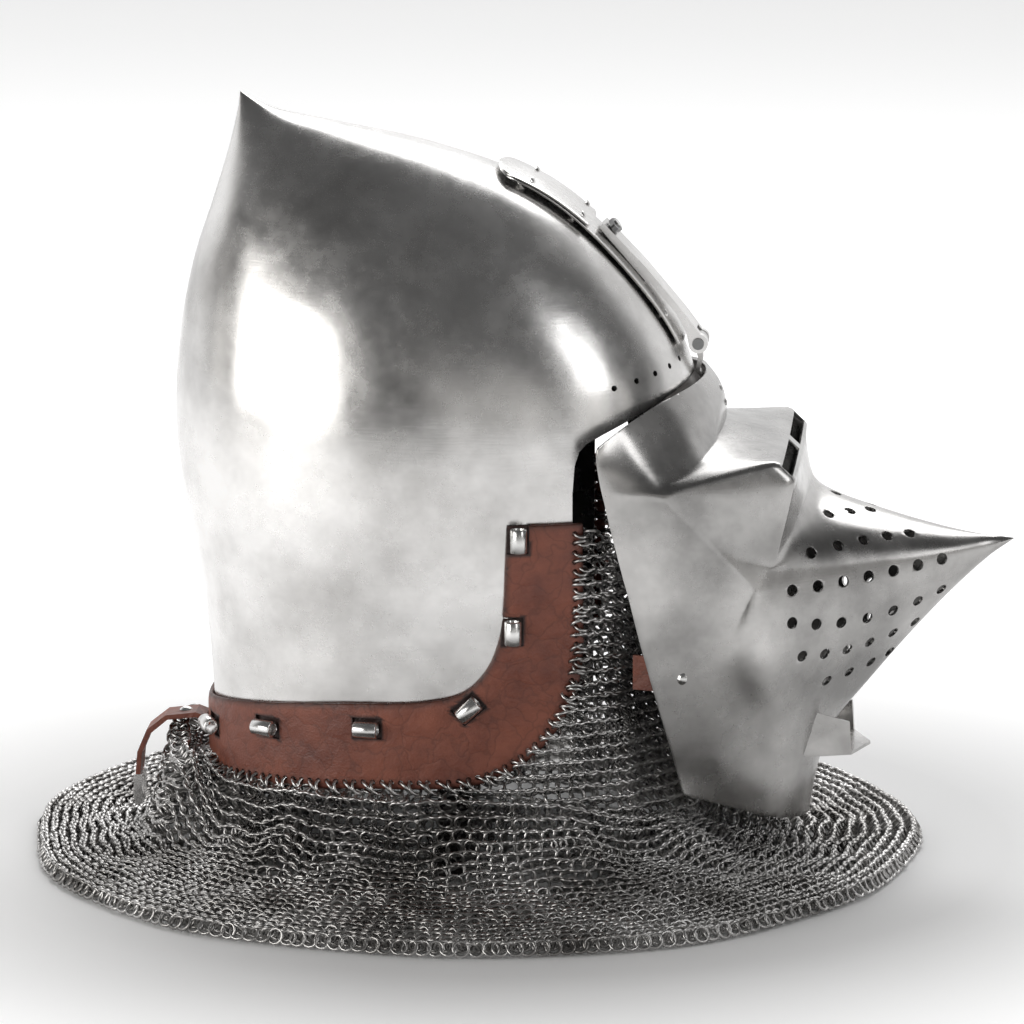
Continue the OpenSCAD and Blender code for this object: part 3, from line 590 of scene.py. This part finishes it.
FOOT_END = len(SNOUT_FOOT) - 1
VISOR_HALF = [
    face_row([100, 253], [79, 62, 247.5], [63, 83, 240], [50, 94, 231]),
    face_row([106, 246], [86, 63, 241], [67, 84.5, 233], [49.5, 95, 226]),
    face_row([109.5, 236], [92, 65, 231], [72, 87.5, 222], [50, 95.3, 220]),
    face_row([109, 226], [101, 70, 217], [83.5, 90.5, 209], [52, 95, 211]),
    face_row([141, 219], [140, 70, 219], [82.4, 92.5, 206.9], [53, 94.8, 207]),
    face_row([149, 211.5], [148.5, 70, 211], [86.2, 91.1, 202.8], [54, 94.4, 203]),
    face_row([153, 201], [144, 72, 190], [96.7, 87.4, 191.4], [56, 93.8, 193]),
    snout_row(4, [111.9, 82, 174.8], [60, 92, 176]),
    snout_row(3, [118, 79.8, 168], [61.5, 91.6, 170]),
    snout_row(2, [123.5, 77.8, 162], [63, 91.2, 164]),
    snout_row(1, [126.5, 76.7, 158.5], [64, 90.8, 160]),
    snout_row(0, [127.6, 76.3, 153], [65.5, 90.3, 155]),
    snout_row(-1, [121, 77, 140], [68.5, 89, 142]),
    snout_row(-2, [115, 77.6, 126], [72, 87, 127]),
    snout_row(-3, [112, 77, 114], [76, 84.5, 112]),
    snout_row(-4, [112, 75, 104], [79.5, 82, 98]),
    face_row([166, 70], [136, 54, 80], [113, 69, 78], [86, 76.5, 74]),
    face_row([158, 47], [137, 49, 52], [114, 63.5, 54], [90.5, 71.5, 55]),
    face_row([154, 21], [135, 46, 28], [115, 59, 37], [93, 70, 45])]
ROW_GROOVE, ROW_SHELF, ROW_LIP, ROW_TIP = 3, 4, 5, 11
COL_TURN = FRONT_COLS
COL_CREASE = FRONT_COLS + TURN_COLS


def visor_creases(row, col, next_row, next_col):
    """Sharpness of the net's edge between two neighbouring points of one half."""
    if row == next_row:
        across = (col + next_col) / 2
        if row in (ROW_SHELF, ROW_LIP) and across < COL_TURN:
            return 0.95
        if row == ROW_SHELF and across < COL_CREASE:
            return 0.85
        if row == ROW_GROOVE and across < COL_CREASE:
            return 0.45
    else:
        down = (row + next_row) / 2
        if col == COL_TURN and ROW_SHELF < down < ROW_TIP:
            return 0.85
        if col == COL_CREASE and ROW_SHELF < down < ROW_TIP:
            return 1.0
    return 0


def visor_plate():
    half = np.array(VISOR_HALF)
    net = np.concatenate([half[:, :0:-1] * [1, -1, 1], half], axis=1)
    m, n = net.shape[:2]
    middle = (n - 1) // 2
    plate = make_mesh("visor_shell", net.reshape(-1, 3), grid_quads(m, n, flip=True))
    bm = bmesh.new()
    bm.from_mesh(plate.data)
    layer = bm.edges.layers.float.new("crease_edge")
    points = bm.verts.layers.float.new("crease_vert")
    bm.verts.ensure_lookup_table()
    for edge in bm.edges:
        (a, b) = sorted(v.index for v in edge.verts)
        cols = abs(a % n - middle), abs(b % n - middle)
        edge[layer] = visor_creases(a // n, cols[0], b // n, cols[1])
    bm.verts[ROW_TIP * n + middle][points] = 1.0
    for j in (0, n - 1):
        for i in (0, m - 1):
            bm.verts[i * n + j][points] = 0.4
    bm.to_mesh(plate.data)
    bm.free()
    sub = plate.modifiers.new("smooth", "SUBSURF")
    sub.levels = sub.render_levels = 3
    sub.boundary_smooth = "ALL"
    apply_all(plate)
    thick = plate.modifiers.new("thick", "SOLIDIFY")
    thick.thickness = VISOR_T * MM
    thick.offset = -1
    apply_all(plate)
    cut(plate, breath_cutter())
    cut(plate, sight_cutter())
    cut(plate, prism("cutter", [(148, 61.5), (192, 61.5), (192, 70.5), (148, 70.5)], 20))
    bevel(plate, 0.45, 2, 50)
    apply_all(plate)
    sharpen(plate, 38)
    return finish_piece(plate, VISOR_SHADED_STEEL, "visor", ["visor_plate"])


def breath_cutter():
    places = []
    for count, a, b, c, d in BREATH_ROWS:
        for k in range(count):
            share = k / (count - 1)
            foot, reach = mix(a, c, share), mix(b, d, share)
            p = snout(foot, reach)
            u = snout(min(foot + 0.1, FOOT_END), reach) - snout(max(foot - 0.1, 0), reach)
            v = snout(foot, reach + 0.02) - snout(foot, reach - 0.02)
            way = np.cross(v, u)
            places.append((tuple(p), tuple(way)))
            places.append(((p[0], -p[1], p[2]), (way[0], -way[1], way[2])))
    top = snout(0, 0.9)
    places.append((tuple(top), (0.25, 0, 1)))
    return joined_cylinders("cutter", places, BREATH_D / 2, 5, 24)


def sight_cutter():
    tilt = math.radians(41)
    along = np.array([math.cos(tilt), 0, math.sin(tilt)])
    up = np.array([-math.sin(tilt), 0, math.cos(tilt)])
    verts, faces = [], []
    for y0, y1 in ((SIGHT_BRIDGE, SIGHT_HALF), (-SIGHT_HALF, -SIGHT_BRIDGE)):
        start = len(verts)
        for a in (-10, 10):
            for y in (y0, y1):
                for h in (-3.5, 3.9):
                    verts.append(np.array([145, y, 215]) + along * a + up * h)
        faces += [[start + k for k in f] for f in BOX_FACES]
    return make_mesh("cutter", verts, faces, smooth=False)


# ---------- leather band ----------

def band_stations():
    """Edge angles and heights of the band along one side, to the back of the neck."""
    outer = [(neck_ang(s[1], s[0]), s[1]) for s in BAND_FRONT]
    inner = [(neck_ang(s[3], s[2]), s[3]) for s in BAND_FRONT]
    low, high = outer[-1], inner[-1]
    for k in range(1, BAND_REAR + 1):
        share = k / BAND_REAR
        outer.append((mix(low[0], 180, share), mix(low[1], BAND_REAR_LOW, share)))
        inner.append((mix(high[0], 180, share), mix(high[1], BAND_REAR_HIGH, share)))
    return np.array(outer, float), np.array(inner, float)


def band_grid(rows, cols, out):
    """Grid of points over the whole band, from one front end round to the other."""
    outer, inner = band_stations()
    t = np.linspace(0, len(outer) - 1, rows)
    a, b = spline(outer, t), spline(inner, t)
    share = np.linspace(0, 1, cols)[None, :, None]
    spot = a[:, None] * (1 - share) + b[:, None] * share
    side = neck_at(spot[..., 1], spot[..., 0], out)
    other = side[-2::-1] * [1, -1, 1]
    return np.concatenate([side, other])


def leather_band():
    rows, cols = ((230, 26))
    outer = band_grid(rows, cols, BAND_AIR + BAND_T)
    inner = band_grid(rows, cols, BAND_AIR)
    n = grid_normals(outer)
    away = outer - np.array([-32, 0, 0])
    away[..., 2] = 0
    n[(n * away).sum(-1) < 0] *= -1
    share = np.linspace(-1, 1, cols)[None, :]
    edge = np.clip((np.abs(share) - 0.75) / 0.25, 0, 1) ** 2
    lift = np.zeros(outer.shape[:2])
    for i in range(outer.shape[0]):
        for j in range(cols):
            p = Vector(outer[i, j])
            lift[i, j] = 0.5 * noise.noise(p / 26) + 0.3 * noise.noise(p / 9)
    lift -= edge * 0.7
    outer = outer + n * lift[..., None]
    band = plate_mesh("leather_strip", outer, inner)
    bevel(band, 0.7, 2, 60)
    apply_all(band)
    laces = [(tuple(p), tuple(o)) for p, o in lace_holes()]
    cut(band, joined_cylinders("cutter", laces, LACE_HOLE / 2, 12, 10))
    slots = staple_frames(1) + staple_frames(-1)
    cut(band, slot_cutter(slots))
    darken_edges(band, outer, [p for p, _ in laces], slots)
    sharpen(band, 60)
    return finish_piece(band, BROWN_LEATHER, "skull", ["leather_band"])


def lace_holes():
    p, _, _, out = edge_places(LACE_PITCH, LACE_INSET)
    for side in (1, -1):
        for a, b in zip(p, out):
            yield a * [1, side, 1], b * [1, side, 1]


def slot_cutter(frames):
    verts, faces = [], []
    half_length, half_width = SLOT_HALF
    deep = -(TUBE_D / 2 - STAPLE_SINK + SLOT_DEPTH)
    corners = [(x * half_length, y, z * half_width)
               for x in (-1, 1) for y in (deep, SLOT_REACH) for z in (-1, 1)]
    for origin, turn in frames:
        start = len(verts)
        verts += [tuple(origin + turn @ Vector(corner)) for corner in corners]
        faces += [[start + k for k in f] for f in BOX_FACES]
    piece = make_mesh("cutter", verts, faces, smooth=False)
    fix_normals(piece)
    return piece


def darken_edges(band, grid, holes, slots):
    """Stores how near each point is to a cut edge, for leather darker from wear at the edges and
    lace holes, and for a painted shadow round each staple slot.
    """
    edges = [tuple(p) for p in np.concatenate([grid[:, 0], grid[:, -1], grid[0], grid[-1]])]
    tree = kdtree.KDTree(len(edges) + len(holes))
    for k, p in enumerate(edges + holes):
        tree.insert(Vector(p) * MM, k)
    tree.balance()
    frames = [(origin * MM, turn.transposed()) for origin, turn in slots]
    wear_and_slot_shade = band.data.attributes.new("wear_and_slot_shade", "FLOAT", "POINT")
    values = []
    for v in band.data.vertices:
        wear_and_shade = 0.85 * max(0, 1 - tree.find(v.co)[2] / (3.2 * MM))
        for origin, turn in frames:
            local = turn @ (v.co - origin) / MM
            over = (abs(local.x) - SLOT_HALF[0], abs(local.y) - SLOT_REACH,
                    abs(local.z) - SLOT_HALF[1])
            # painted shadow: the leather round each staple slot is darkened fully
            if max(over) < SLOT_SHADOW:
                wear_and_shade = 1.0
        values.append(wear_and_shade)
    wear_and_slot_shade.data.foreach_set("value", values)


# ---------- rings ----------

def ring_template(radius, wire, around, sides):
    a = np.arange(around) * 2 * math.pi / around
    b = np.arange(sides) * 2 * math.pi / sides + math.pi / sides
    r = radius + wire * np.cos(b)[None, :]
    x = r * np.cos(a)[:, None]
    y = r * np.sin(a)[:, None]
    z = np.broadcast_to(wire * np.sin(b)[None, :], x.shape)
    verts = np.stack([x, y, z], -1).reshape(-1, 3)
    faces = []
    for i in range(around):
        for j in range(sides):
            i2, j2 = (i + 1) % around, (j + 1) % sides
            faces.append([i * sides + j, i2 * sides + j, i2 * sides + j2, i * sides + j2])
    return verts, np.array(faces)


def ring_mesh(name, centres, x_axes, y_axes, radius=RING_R, wire=RING_WIRE, around=12, sides=5):
    """One mesh of many rings; each lies in the plane of its two axes."""
    verts, faces = ring_template(radius, wire, around, sides)
    centres, x_axes, y_axes = (np.asarray(v, float) for v in (centres, x_axes, y_axes))
    z_axes = np.cross(x_axes, y_axes)
    points = (centres[:, None] + verts[None, :, 0:1] * x_axes[:, None]
              + verts[None, :, 1:2] * y_axes[:, None] + verts[None, :, 2:3] * z_axes[:, None])
    count = len(centres)
    every = faces[None] + (np.arange(count) * len(verts))[:, None, None]
    mesh = bpy.data.meshes.new(name)
    mesh.vertices.add(count * len(verts))
    mesh.vertices.foreach_set("co", (points * MM).ravel())
    total = count * len(faces)
    mesh.loops.add(total * 4)
    mesh.loops.foreach_set("vertex_index", every.reshape(-1).astype(np.int32))
    mesh.polygons.add(total)
    mesh.polygons.foreach_set("loop_start", np.arange(0, total * 4, 4, dtype=np.int32))
    mesh.polygons.foreach_set("use_smooth", np.ones(total, dtype=bool))
    mesh.update(calc_edges=True)
    mesh.validate()
    piece = bpy.data.objects.new(name, mesh)
    bpy.context.scene.collection.objects.link(piece)
    return piece


def unit(v):
    return v / np.maximum(np.linalg.norm(v, axis=-1, keepdims=True), 1e-9)


def weave(surface, rows, spread, tilt=54):
    """Rings of four-in-one mail over a surface.

    surface(row, turn) gives points, rows is the list of (row spot, ring count, first turn,
    last turn, closed). Alternate rows lean opposite ways, as linked rings do.
    """
    centres, xs, ys = [], [], []
    for k, (spot, count, first, last, closed) in enumerate(rows):
        step = (last - first) / (count if closed else max(count - 1, 1))
        turn = first + step * (np.arange(count) + (0.5 if k % 2 else 0.0))
        wobble = np.array([DRAW.gauss(0, 1) for _ in range(count * 3)]).reshape(count, 3)
        turn = turn + step * 0.09 * wobble[:, 0]
        p = surface(np.full(count, spot), turn)
        along = unit(surface(np.full(count, spot), turn + abs(step) * 0.3)
                     - surface(np.full(count, spot), turn - abs(step) * 0.3))
        down = unit(surface(np.full(count, spot + spread), turn)
                    - surface(np.full(count, spot - spread), turn))
        up = unit(np.cross(along, down))
        down = np.cross(up, along)
        lean = np.radians((tilt if k % 2 else -tilt) + 6 * wobble[:, 1])[:, None]
        roll = np.radians(7 * wobble[:, 2])[:, None]
        y_axis = down * np.cos(lean) + up * np.sin(lean)
        x_axis = along * np.cos(roll) + np.cross(y_axis, along) * np.sin(roll)
        centres.append(p)
        xs.append(x_axis)
        ys.append(y_axis)
    return np.concatenate(centres), np.concatenate(xs), np.concatenate(ys)


def split_rings(name, rings, nodes):
    """Rings as several pieces of a limited size."""
    centres, xs, ys = rings
    parts = math.ceil(len(centres) / RINGS_A_PIECE)
    for k, index in enumerate(np.array_split(np.arange(len(centres)), parts)):
        piece = ring_mesh(f"{name}_{k + 1}", centres[index], xs[index], ys[index])
        finish_piece(piece, MAIL_STEEL, "skull", nodes)


def neck_height(turn):
    """Height at which the spread mail leaves the neck: low under the chin."""
    a = np.abs((np.asarray(turn) + 180) % 360 - 180)
    return mix(19.0, 44.0, 0.5 - 0.5 * np.cos(np.radians(np.minimum(a * 2, 180))))


def folds(turn, scale):
    a = np.radians(turn)
    return (np.sin(9 * a + 0.7 + 1.3 * np.sin(2 * a)) + 0.6 * np.sin(17 * a + 2 * np.sin(3 * a))
            + 0.5 * np.sin(4 * a + 1.1)) * scale


def skirt_surface(share, turn):
    """Spread mail: share 0 at the neck and 1 at the rim, turn in degrees from the front."""
    s = np.clip(np.asarray(share, float), 0, 1.02)
    s = s + RUMPLE * np.sin(np.pi * s) * (np.sin(np.radians(turn * 13) + 9 * s)
                                          + np.sin(np.radians(turn * 29) - 14 * s))
    inner = neck_at(60, turn, 6.5)
    ragged = 3.0 * np.sin(np.radians(turn * 5 + 40)) + 2.0 * np.sin(np.radians(turn * 11))
    reach = MAIL_R - RING_R - 5.5 + ragged * 0.6
    rim = np.stack([MAIL_X + reach * np.cos(np.radians(turn)),
                    reach * np.sin(np.radians(turn)), np.zeros_like(turn)], -1)
    p = mix(inner, rim, s[..., None])
    behind = np.abs((turn % 360) - 180)
    hump = 40 * np.exp(-(behind / 24) ** 2) * np.exp(-((s - 0.15) / 0.11) ** 2)
    ruck = np.exp(-((s - 0.16) / 0.13) ** 2) * np.maximum(folds(turn, 4.0) + 5.0, 0)
    swell = np.abs(folds(turn, 0.9)) * np.exp(-((s - 0.5) / 0.3) ** 2)
    p[..., 2] = 4.8 + swell + (neck_height(turn) - 4) * np.exp(-s * 9.0) + ruck + hump
    return p


def mail_skirt():
    turns = np.arange(0, 360, 10.0)
    fine = np.linspace(0, 1, 400)
    profile = skirt_surface(np.repeat(fine[:, None], len(turns), 1),
                            np.repeat(turns[None], len(fine), 0))
    length = np.concatenate([[0], np.cumsum(
        np.linalg.norm(np.diff(profile, axis=0), axis=-1).mean(1))])
    count = int(length[-1] / ROW_PITCH)
    places = np.interp(np.arange(count + 1) * ROW_PITCH, length, fine)
    loop = np.arange(0, 360, 2.0)
    rows = []
    rings = 0
    for s in places:
        ring = skirt_surface(np.full(len(loop), s), loop)
        girth = np.linalg.norm(np.diff(np.concatenate([ring, ring[:1]]), axis=0), axis=-1).sum()
        wanted = int(girth / RING_PITCH)
        if wanted > rings * 1.1 or rings == 0:
            rings = int(wanted * 1.05)
        rows.append((s, rings, 0.0, 360.0, True))
    split_rings("mail_skirt", weave(skirt_surface, rows, 0.01), ["mail_skirt"])


def upper_edge(turn):
    """Upper edge of the hanging mail: its free edge, then the band's edge."""
    a = np.abs(turn)
    free = mix(104, 186, np.clip(a / 55, 0, 1) ** 1.6)
    band = np.interp(a, [57.5, 58.5, 59, 63, 70, 80, 90, 180], [190, 130, 102, 82, 65, 54, 48, 40])
    return np.where(a < 55, free, np.minimum(band, 188))


def curtain_surface(z, turn):
    """Hanging mail at height z: inside the face opening, and flush with the band beside it."""
    z, turn = np.broadcast_arrays(np.asarray(z, float), np.asarray(turn, float))
    inside = np.interp(z, [20, 104, 190], [6, -4, -6])
    wave = 1.8 * np.sin(np.radians(turn * 14)) + 1.0 * np.sin(np.radians(turn * 23 + z))
    side = np.clip((np.abs(turn) - 40) / 16, 0, 1)
    return neck_at(z, turn, mix(inside + wave, 3.6 + 0.4 * wave, side))


def mail_curtain():
    heights = np.arange(188, 10, -ROW_PITCH)
    rows = [(z, int(NECK_GIRTH / RING_PITCH), -180.0, 180.0, True) for z in heights]
    centres, xs, ys = weave(curtain_surface, rows, -0.5)
    turn = np.degrees(np.arctan2(centres[:, 1] / 90, (centres[:, 0] + 31.5) / 124))
    keep = centres[:, 2] < upper_edge(turn)
    split_rings("mail_curtain", (centres[keep], xs[keep], ys[keep]), ["mail_curtain"])


def edge_places(pitch, inset):
    """Points along the band's outer edge at an even pitch: point, along, inwards, outwards."""
    outer, inner = band_stations()
    t = np.linspace(0, len(outer) - 1, 1200)
    a, b = spline(outer, t), spline(inner, t)
    edge = neck_at(a[:, 1], a[:, 0], BAND_AIR + BAND_T)
    length = np.concatenate([[0], np.cumsum(np.linalg.norm(np.diff(edge, axis=0), axis=-1))])
    marks = np.arange(pitch, length[-1] - pitch / 2, pitch)
    k = np.interp(marks, length, t)
    a, b = spline(outer, k), spline(inner, k)
    width = np.linalg.norm(neck_at(a[:, 1], a[:, 0], 0) - neck_at(b[:, 1], b[:, 0], 0), axis=-1)
    c = mix(a, b, (inset / width)[:, None])
    p = neck_at(c[:, 1], c[:, 0], BAND_AIR + BAND_T / 2)
    out = unit(neck_at(c[:, 1], c[:, 0], 10) - neck_at(c[:, 1], c[:, 0], 0))
    inwards = unit(neck_at(b[:, 1], b[:, 0], 3) - neck_at(a[:, 1], a[:, 0], 3))
    along = unit(np.cross(out, inwards))
    return p, along, inwards, out


def edge_rings():
    """Rings through the band's edge holes, mirrored on both sides."""
    p, along, inwards, out = edge_places(LACE_PITCH, LACE_INSET)
    lean = np.where(np.arange(len(p)) % 2, 1, -1)[:, None] * math.radians(24)
    centre = p - inwards * 3.6 + out * 0.6
    x_axis = unit(inwards + out * 0.25)
    y_axis = unit(out * np.cos(lean) + along * np.sin(lean))
    y_axis = unit(y_axis - x_axis * (x_axis * y_axis).sum(-1, keepdims=True))
    for name, side in (("left", 1), ("right", -1)):
        flip = np.array([1, side, 1])
        piece = ring_mesh(f"edge_rings_{name}", centre * flip, x_axis * flip, y_axis * flip)
        nodes = [f"edge_rings_{name}"] + (["edge_rings_rear"] if side == 1 else [])
        finish_piece(piece, MAIL_STEEL, "skull", nodes)


# ---------- staples ----------

def tube_mesh(verts, faces, turn, origin, length, outer, bore, sides=28):
    """Adds a tube with rounded rims along the local X axis."""
    rim = 0.5
    section = [(-length / 2, bore / 2 + 0.2), (-length / 2, outer / 2 - rim),
               (-length / 2 + rim, outer / 2), (length / 2 - rim, outer / 2),
               (length / 2, outer / 2 - rim), (length / 2, bore / 2 + 0.2),
               (length / 2 - 0.3, bore / 2), (-length / 2 + 0.3, bore / 2)]
    start = len(verts)
    for x, r in section:
        for k in range(sides):
            a = 2 * math.pi * k / sides
            verts.append(origin + turn @ Vector((x, r * math.cos(a), r * math.sin(a))))
    n = len(section)
    for i in range(n):
        for k in range(sides):
            k2, i2 = (k + 1) % sides, (i + 1) % n
            faces.append([start + i * sides + k, start + i * sides + k2,
                          start + i2 * sides + k2, start + i2 * sides + k])


def staple_frames(side):
    """Centre and axes of each staple on one side; X runs along the tube and Y outwards."""
    frames = []
    for x, z, angle in STAPLES:
        a = float(neck_ang(z, x))
        p = neck_at(z, a, BAND_AIR + BAND_T)
        q = neck_at(z, a + 1, BAND_AIR + BAND_T) - p
        level = Vector((q[0], q[1], 0)).normalized()
        out = Vector((level.y, -level.x, 0))
        lean = math.radians(angle)
        x_axis = -level * math.cos(lean) + Vector((0, 0, 1)) * math.sin(lean)
        origin = Vector(p) + out * (TUBE_D / 2 - STAPLE_SINK)
        flip = Matrix.Diagonal((1, side, 1))
        turn = Matrix((flip @ x_axis, flip @ out, flip @ x_axis.cross(out))).transposed()
        frames.append((flip @ origin, turn))
    return frames


def band_staples():
    for name, side in (("left", 1), ("right", -1)):
        verts, faces = [], []
        for origin, turn in staple_frames(side):
            tube_mesh(verts, faces, turn, origin, TUBE_LEN, TUBE_D, TUBE_BORE)
        piece = make_mesh(f"staple_tubes_{name}", [tuple(v) for v in verts], faces)
        fix_normals(piece)
        sharpen(piece, 50)
        finish_piece(piece, FITTING_STEEL, "skull", [f"band_staples_{name}"])


# ---------- hinge plates ----------

def stand_off(t):
    return 0.5 + 2.5 * (np.maximum(5 - t, 0) / 1.5) ** 2


def ridge_points(t, y, out):
    """Points of a strip over the ridge, flatter across than the skull."""
    lift = (out + stand_off(t))[:, None]
    p = skull_at(t[:, None], row_ang(t[:, None], y), lift)
    q = skull_at(t[:, None], 0 * y, lift)
    return np.stack([mix(p[..., 0], q[..., 0], PLATE_FLAT), p[..., 1],
                     mix(p[..., 2], q[..., 2], PLATE_FLAT)], -1)


def ridge_strip(name, first, last, low, rows=60, cols=16):
    """Strip of plate along the skull's ridge, its rear end rounded."""
    t = np.linspace(first, last, rows)
    away = (t - first) / 0.22
    width = BASE_W / 2 * np.sqrt(np.clip(1 - np.clip(1 - away, 0, 1) ** 2, 0.02, 1))
    share = np.linspace(-1, 1, cols)
    y = width[:, None] * share[None, :]
    outer = ridge_points(t, y, low + PLATE_T)
    inner = ridge_points(t, y, low)
    piece = plate_mesh(name, outer, inner)
    bevel(piece, 0.35, 2, 50)
    apply_all(piece)
    sharpen(piece, 40)
    return piece


def hinge_plates():
    base = ridge_strip("hinge_base_strip", 3.45, 5.82, 0)
    finish_piece(base, SKULL_STEEL, "skull", ["hinge_base_plate"])
    cover = ridge_strip("hinge_cover_strip", 3.4, COVER_END, PLATE_T + COVER_GAP)
    finish_piece(cover, SKULL_STEEL, "skull", ["hinge_cover_plate"])


# ---------- liner ----------

def liner_pad():
    rows, cols = ((90, 144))
    pad = dome_mesh("liner_cap", 1.3, 9.2, SKULL_T + LINER_AIR, rows, cols)
    inside = dome_mesh("cutter", 2.2, 9.2, SKULL_T + LINER_AIR + LINER_T, rows, cols)
    inside.data.transform(Matrix.Translation((0, 0, -0.01 * MM)))
    cut(pad, inside)
    outline = [(x - LINER_BACK, z + LINER_BACK / 2) for x, z in FACE_OUTLINE]
    cut(pad, prism("cutter", outline, 150))
    sharpen(pad, 50)
    return finish_piece(pad, BLACK_CLOTH, "skull", ["liner_pad"])


# ---------- CAD nodes that keep their shape ----------

KEPT = {
    "base_plate_rivets": SKULL_STEEL, "strap_staple": FITTING_STEEL, "turn_pin": DARK_STEEL,
    "hinge_strap": SKULL_STEEL, "hinge_pin": DARK_STEEL, "visor_leaf": VISOR_SHADED_STEEL,
    "visor_leaf_rivets": VISOR_SHADED_STEEL, "mouth_box": VISOR_SHADED_STEEL, "liner_rim": DARK_LEATHER,
    "chin_strap_right": DARK_LEATHER, "chin_strap_left": DARK_LEATHER,
    "chin_buckle": FITTING_STEEL, "buckle_prong": DARK_STEEL, "chin_strap_rivets": FITTING_STEEL,
    "visor_tab_right": BROWN_LEATHER, "visor_tab_left": BROWN_LEATHER,
    "visor_tab_rivets": FITTING_STEEL, "rear_strap": BROWN_LEATHER,
    "rear_strap_tip": FITTING_STEEL, "rear_strap_rivet": FITTING_STEEL,
}


def dress_cad():
    for node, material in KEPT.items():
        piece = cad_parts[node]
        for slot in piece.material_slots:
            slot.link = "OBJECT"
            slot.material = material
        bevel(piece, 0.25, 2, 40)


# ---------- room ----------

def area_light(name, spot, aim_at, size, power, colour=(1, 1, 1)):
    lamp = bpy.data.lights.new(name, "AREA")
    lamp.shape = "RECTANGLE"
    lamp.size, lamp.size_y = size
    lamp.energy = power
    lamp.color = colour
    thing = bpy.data.objects.new(name, lamp)
    thing.location = spot
    way = Vector(aim_at) - Vector(spot)
    thing.rotation_euler = way.to_track_quat("-Z", "Y").to_euler()
    bpy.context.scene.collection.objects.link(thing)
    return thing


def floor_material():
    """White floor with painted light: it glows beyond the mail, and fades to no light under the
    helmet as a painted shadow.
    """
    mat, nodes, links, bsdf = new_material("floor_white")
    coord = add(nodes, "ShaderNodeTexCoord")
    bsdf.inputs["Base Color"].default_value = (0.93, 0.93, 0.93, 1)
    bsdf.inputs["Emission Color"].default_value = (1, 1, 1, 1)
    # painted shadow: the floor is unlit within 0.26 m of the middle and glows fully from 0.5 m out
    away = add(nodes, "ShaderNodeVectorMath", operation="LENGTH")
    links.new(coord.outputs["Object"], away.inputs[0])
    painted_glow = to_range(nodes, links, away.outputs["Value"], 0.0, FLOOR_PAINTED_GLOW, 0.26, 0.5)
    links.new(painted_glow.outputs["Result"], bsdf.inputs["Emission Strength"])
    bsdf.inputs["Roughness"].default_value = 0.7
    return mat


def studio_world():
    """Bright backdrop, dark ceiling, and grey walls with bright windows in front."""
    world = bpy.data.worlds.new("studio")
    bpy.context.scene.world = world
    world.use_nodes = True
    nodes, links = world.node_tree.nodes, world.node_tree.links
    coord = add(nodes, "ShaderNodeTexCoord")
    split = add(nodes, "ShaderNodeSeparateXYZ")
    links.new(coord.outputs["Generated"], split.inputs["Vector"])
    upright = add(nodes, "ShaderNodeMapping")
    upright.inputs["Scale"].default_value = (1, 1, 0.12)
    upright.inputs["Location"].default_value = (0.35, 0.1, 0)
    links.new(coord.outputs["Generated"], upright.inputs["Vector"])
    streaks = noise_node(nodes, links, upright.outputs["Vector"], 3.4, 3, 0.55)
    walls = ramp(nodes, links, streaks.outputs["Fac"], (0.05, 0.05, 0.05), (1.0, 0.98, 0.95),
                 (0.47, 0.58))
    back = to_range(nodes, links, split.outputs["Y"], 0, 1, 0.0, 0.45)
    around_head = add(nodes, "ShaderNodeMixRGB")
    around_head.inputs["Color2"].default_value = (1, 1, 1, 1)
    links.new(back.outputs["Result"], around_head.inputs["Fac"])
    links.new(walls.outputs["Color"], around_head.inputs["Color1"])
    front_high = to_range(nodes, links, split.outputs["Z"], 0, 1, 0.08, 0.36)
    back_high = to_range(nodes, links, split.outputs["Z"], 0, 1, 0.55, 0.85)
    high = add(nodes, "ShaderNodeMixRGB")
    links.new(back.outputs["Result"], high.inputs["Fac"])
    links.new(front_high.outputs["Result"], high.inputs["Color1"])
    links.new(back_high.outputs["Result"], high.inputs["Color2"])
    sky = add(nodes, "ShaderNodeMixRGB")
    sky.inputs["Color2"].default_value = (0.11, 0.11, 0.11, 1)
    links.new(high.outputs["Color"], sky.inputs["Fac"])
    links.new(around_head.outputs["Color"], sky.inputs["Color1"])
    links.new(sky.outputs["Color"], nodes["Background"].inputs["Color"])
    nodes["Background"].inputs["Strength"].default_value = 1.0


def room():
    side = 6000
    floor = make_mesh("floor", [(-side, -side, 0), (side, -side, 0), (side, side, 0),
                                (-side, side, 0)], [(0, 1, 2, 3)], smooth=False)
    floor.data.materials.append(floor_material())
    studio_world()
    target = (-0.05, 0, 0.22)
    area_light("soft_left", (-1.45, -1.25, 0.62), target, (1.5, 0.8), 15, (1, 0.985, 0.96))
    area_light("soft_right", (1.7, -1.2, 1.2), target, (0.6, 1.0), 6)
    area_light("soft_back", (0.1, 1.5, 1.7), target, (2.2, 1.0), 26)


def camera():
    az, el = math.radians(CAMERA_TURN), math.radians(CAMERA_RISE)
    back = Vector((math.sin(az) * math.cos(el), -math.cos(az) * math.cos(el), math.sin(el)))
    lens = bpy.data.cameras.new("camera")
    lens.sensor_width = SENSOR
    lens.lens = SENSOR * CAMERA_FAR / CAMERA_WIDTH
    lens.clip_end = 20
    thing = bpy.data.objects.new("camera", lens)
    thing.location = Vector(CAMERA_TARGET) + back * CAMERA_FAR
    thing.rotation_euler = (-back).to_track_quat("-Z", "Y").to_euler()
    bpy.context.scene.collection.objects.link(thing)
    bpy.context.scene.camera = thing
    bpy.context.scene.view_settings.view_transform = "Standard"


camera()
room()
skull_bowl()
visor_plate()
leather_band()
band_staples()
hinge_plates()
liner_pad()
edge_rings()
mail_skirt()
mail_curtain()
dress_cad()
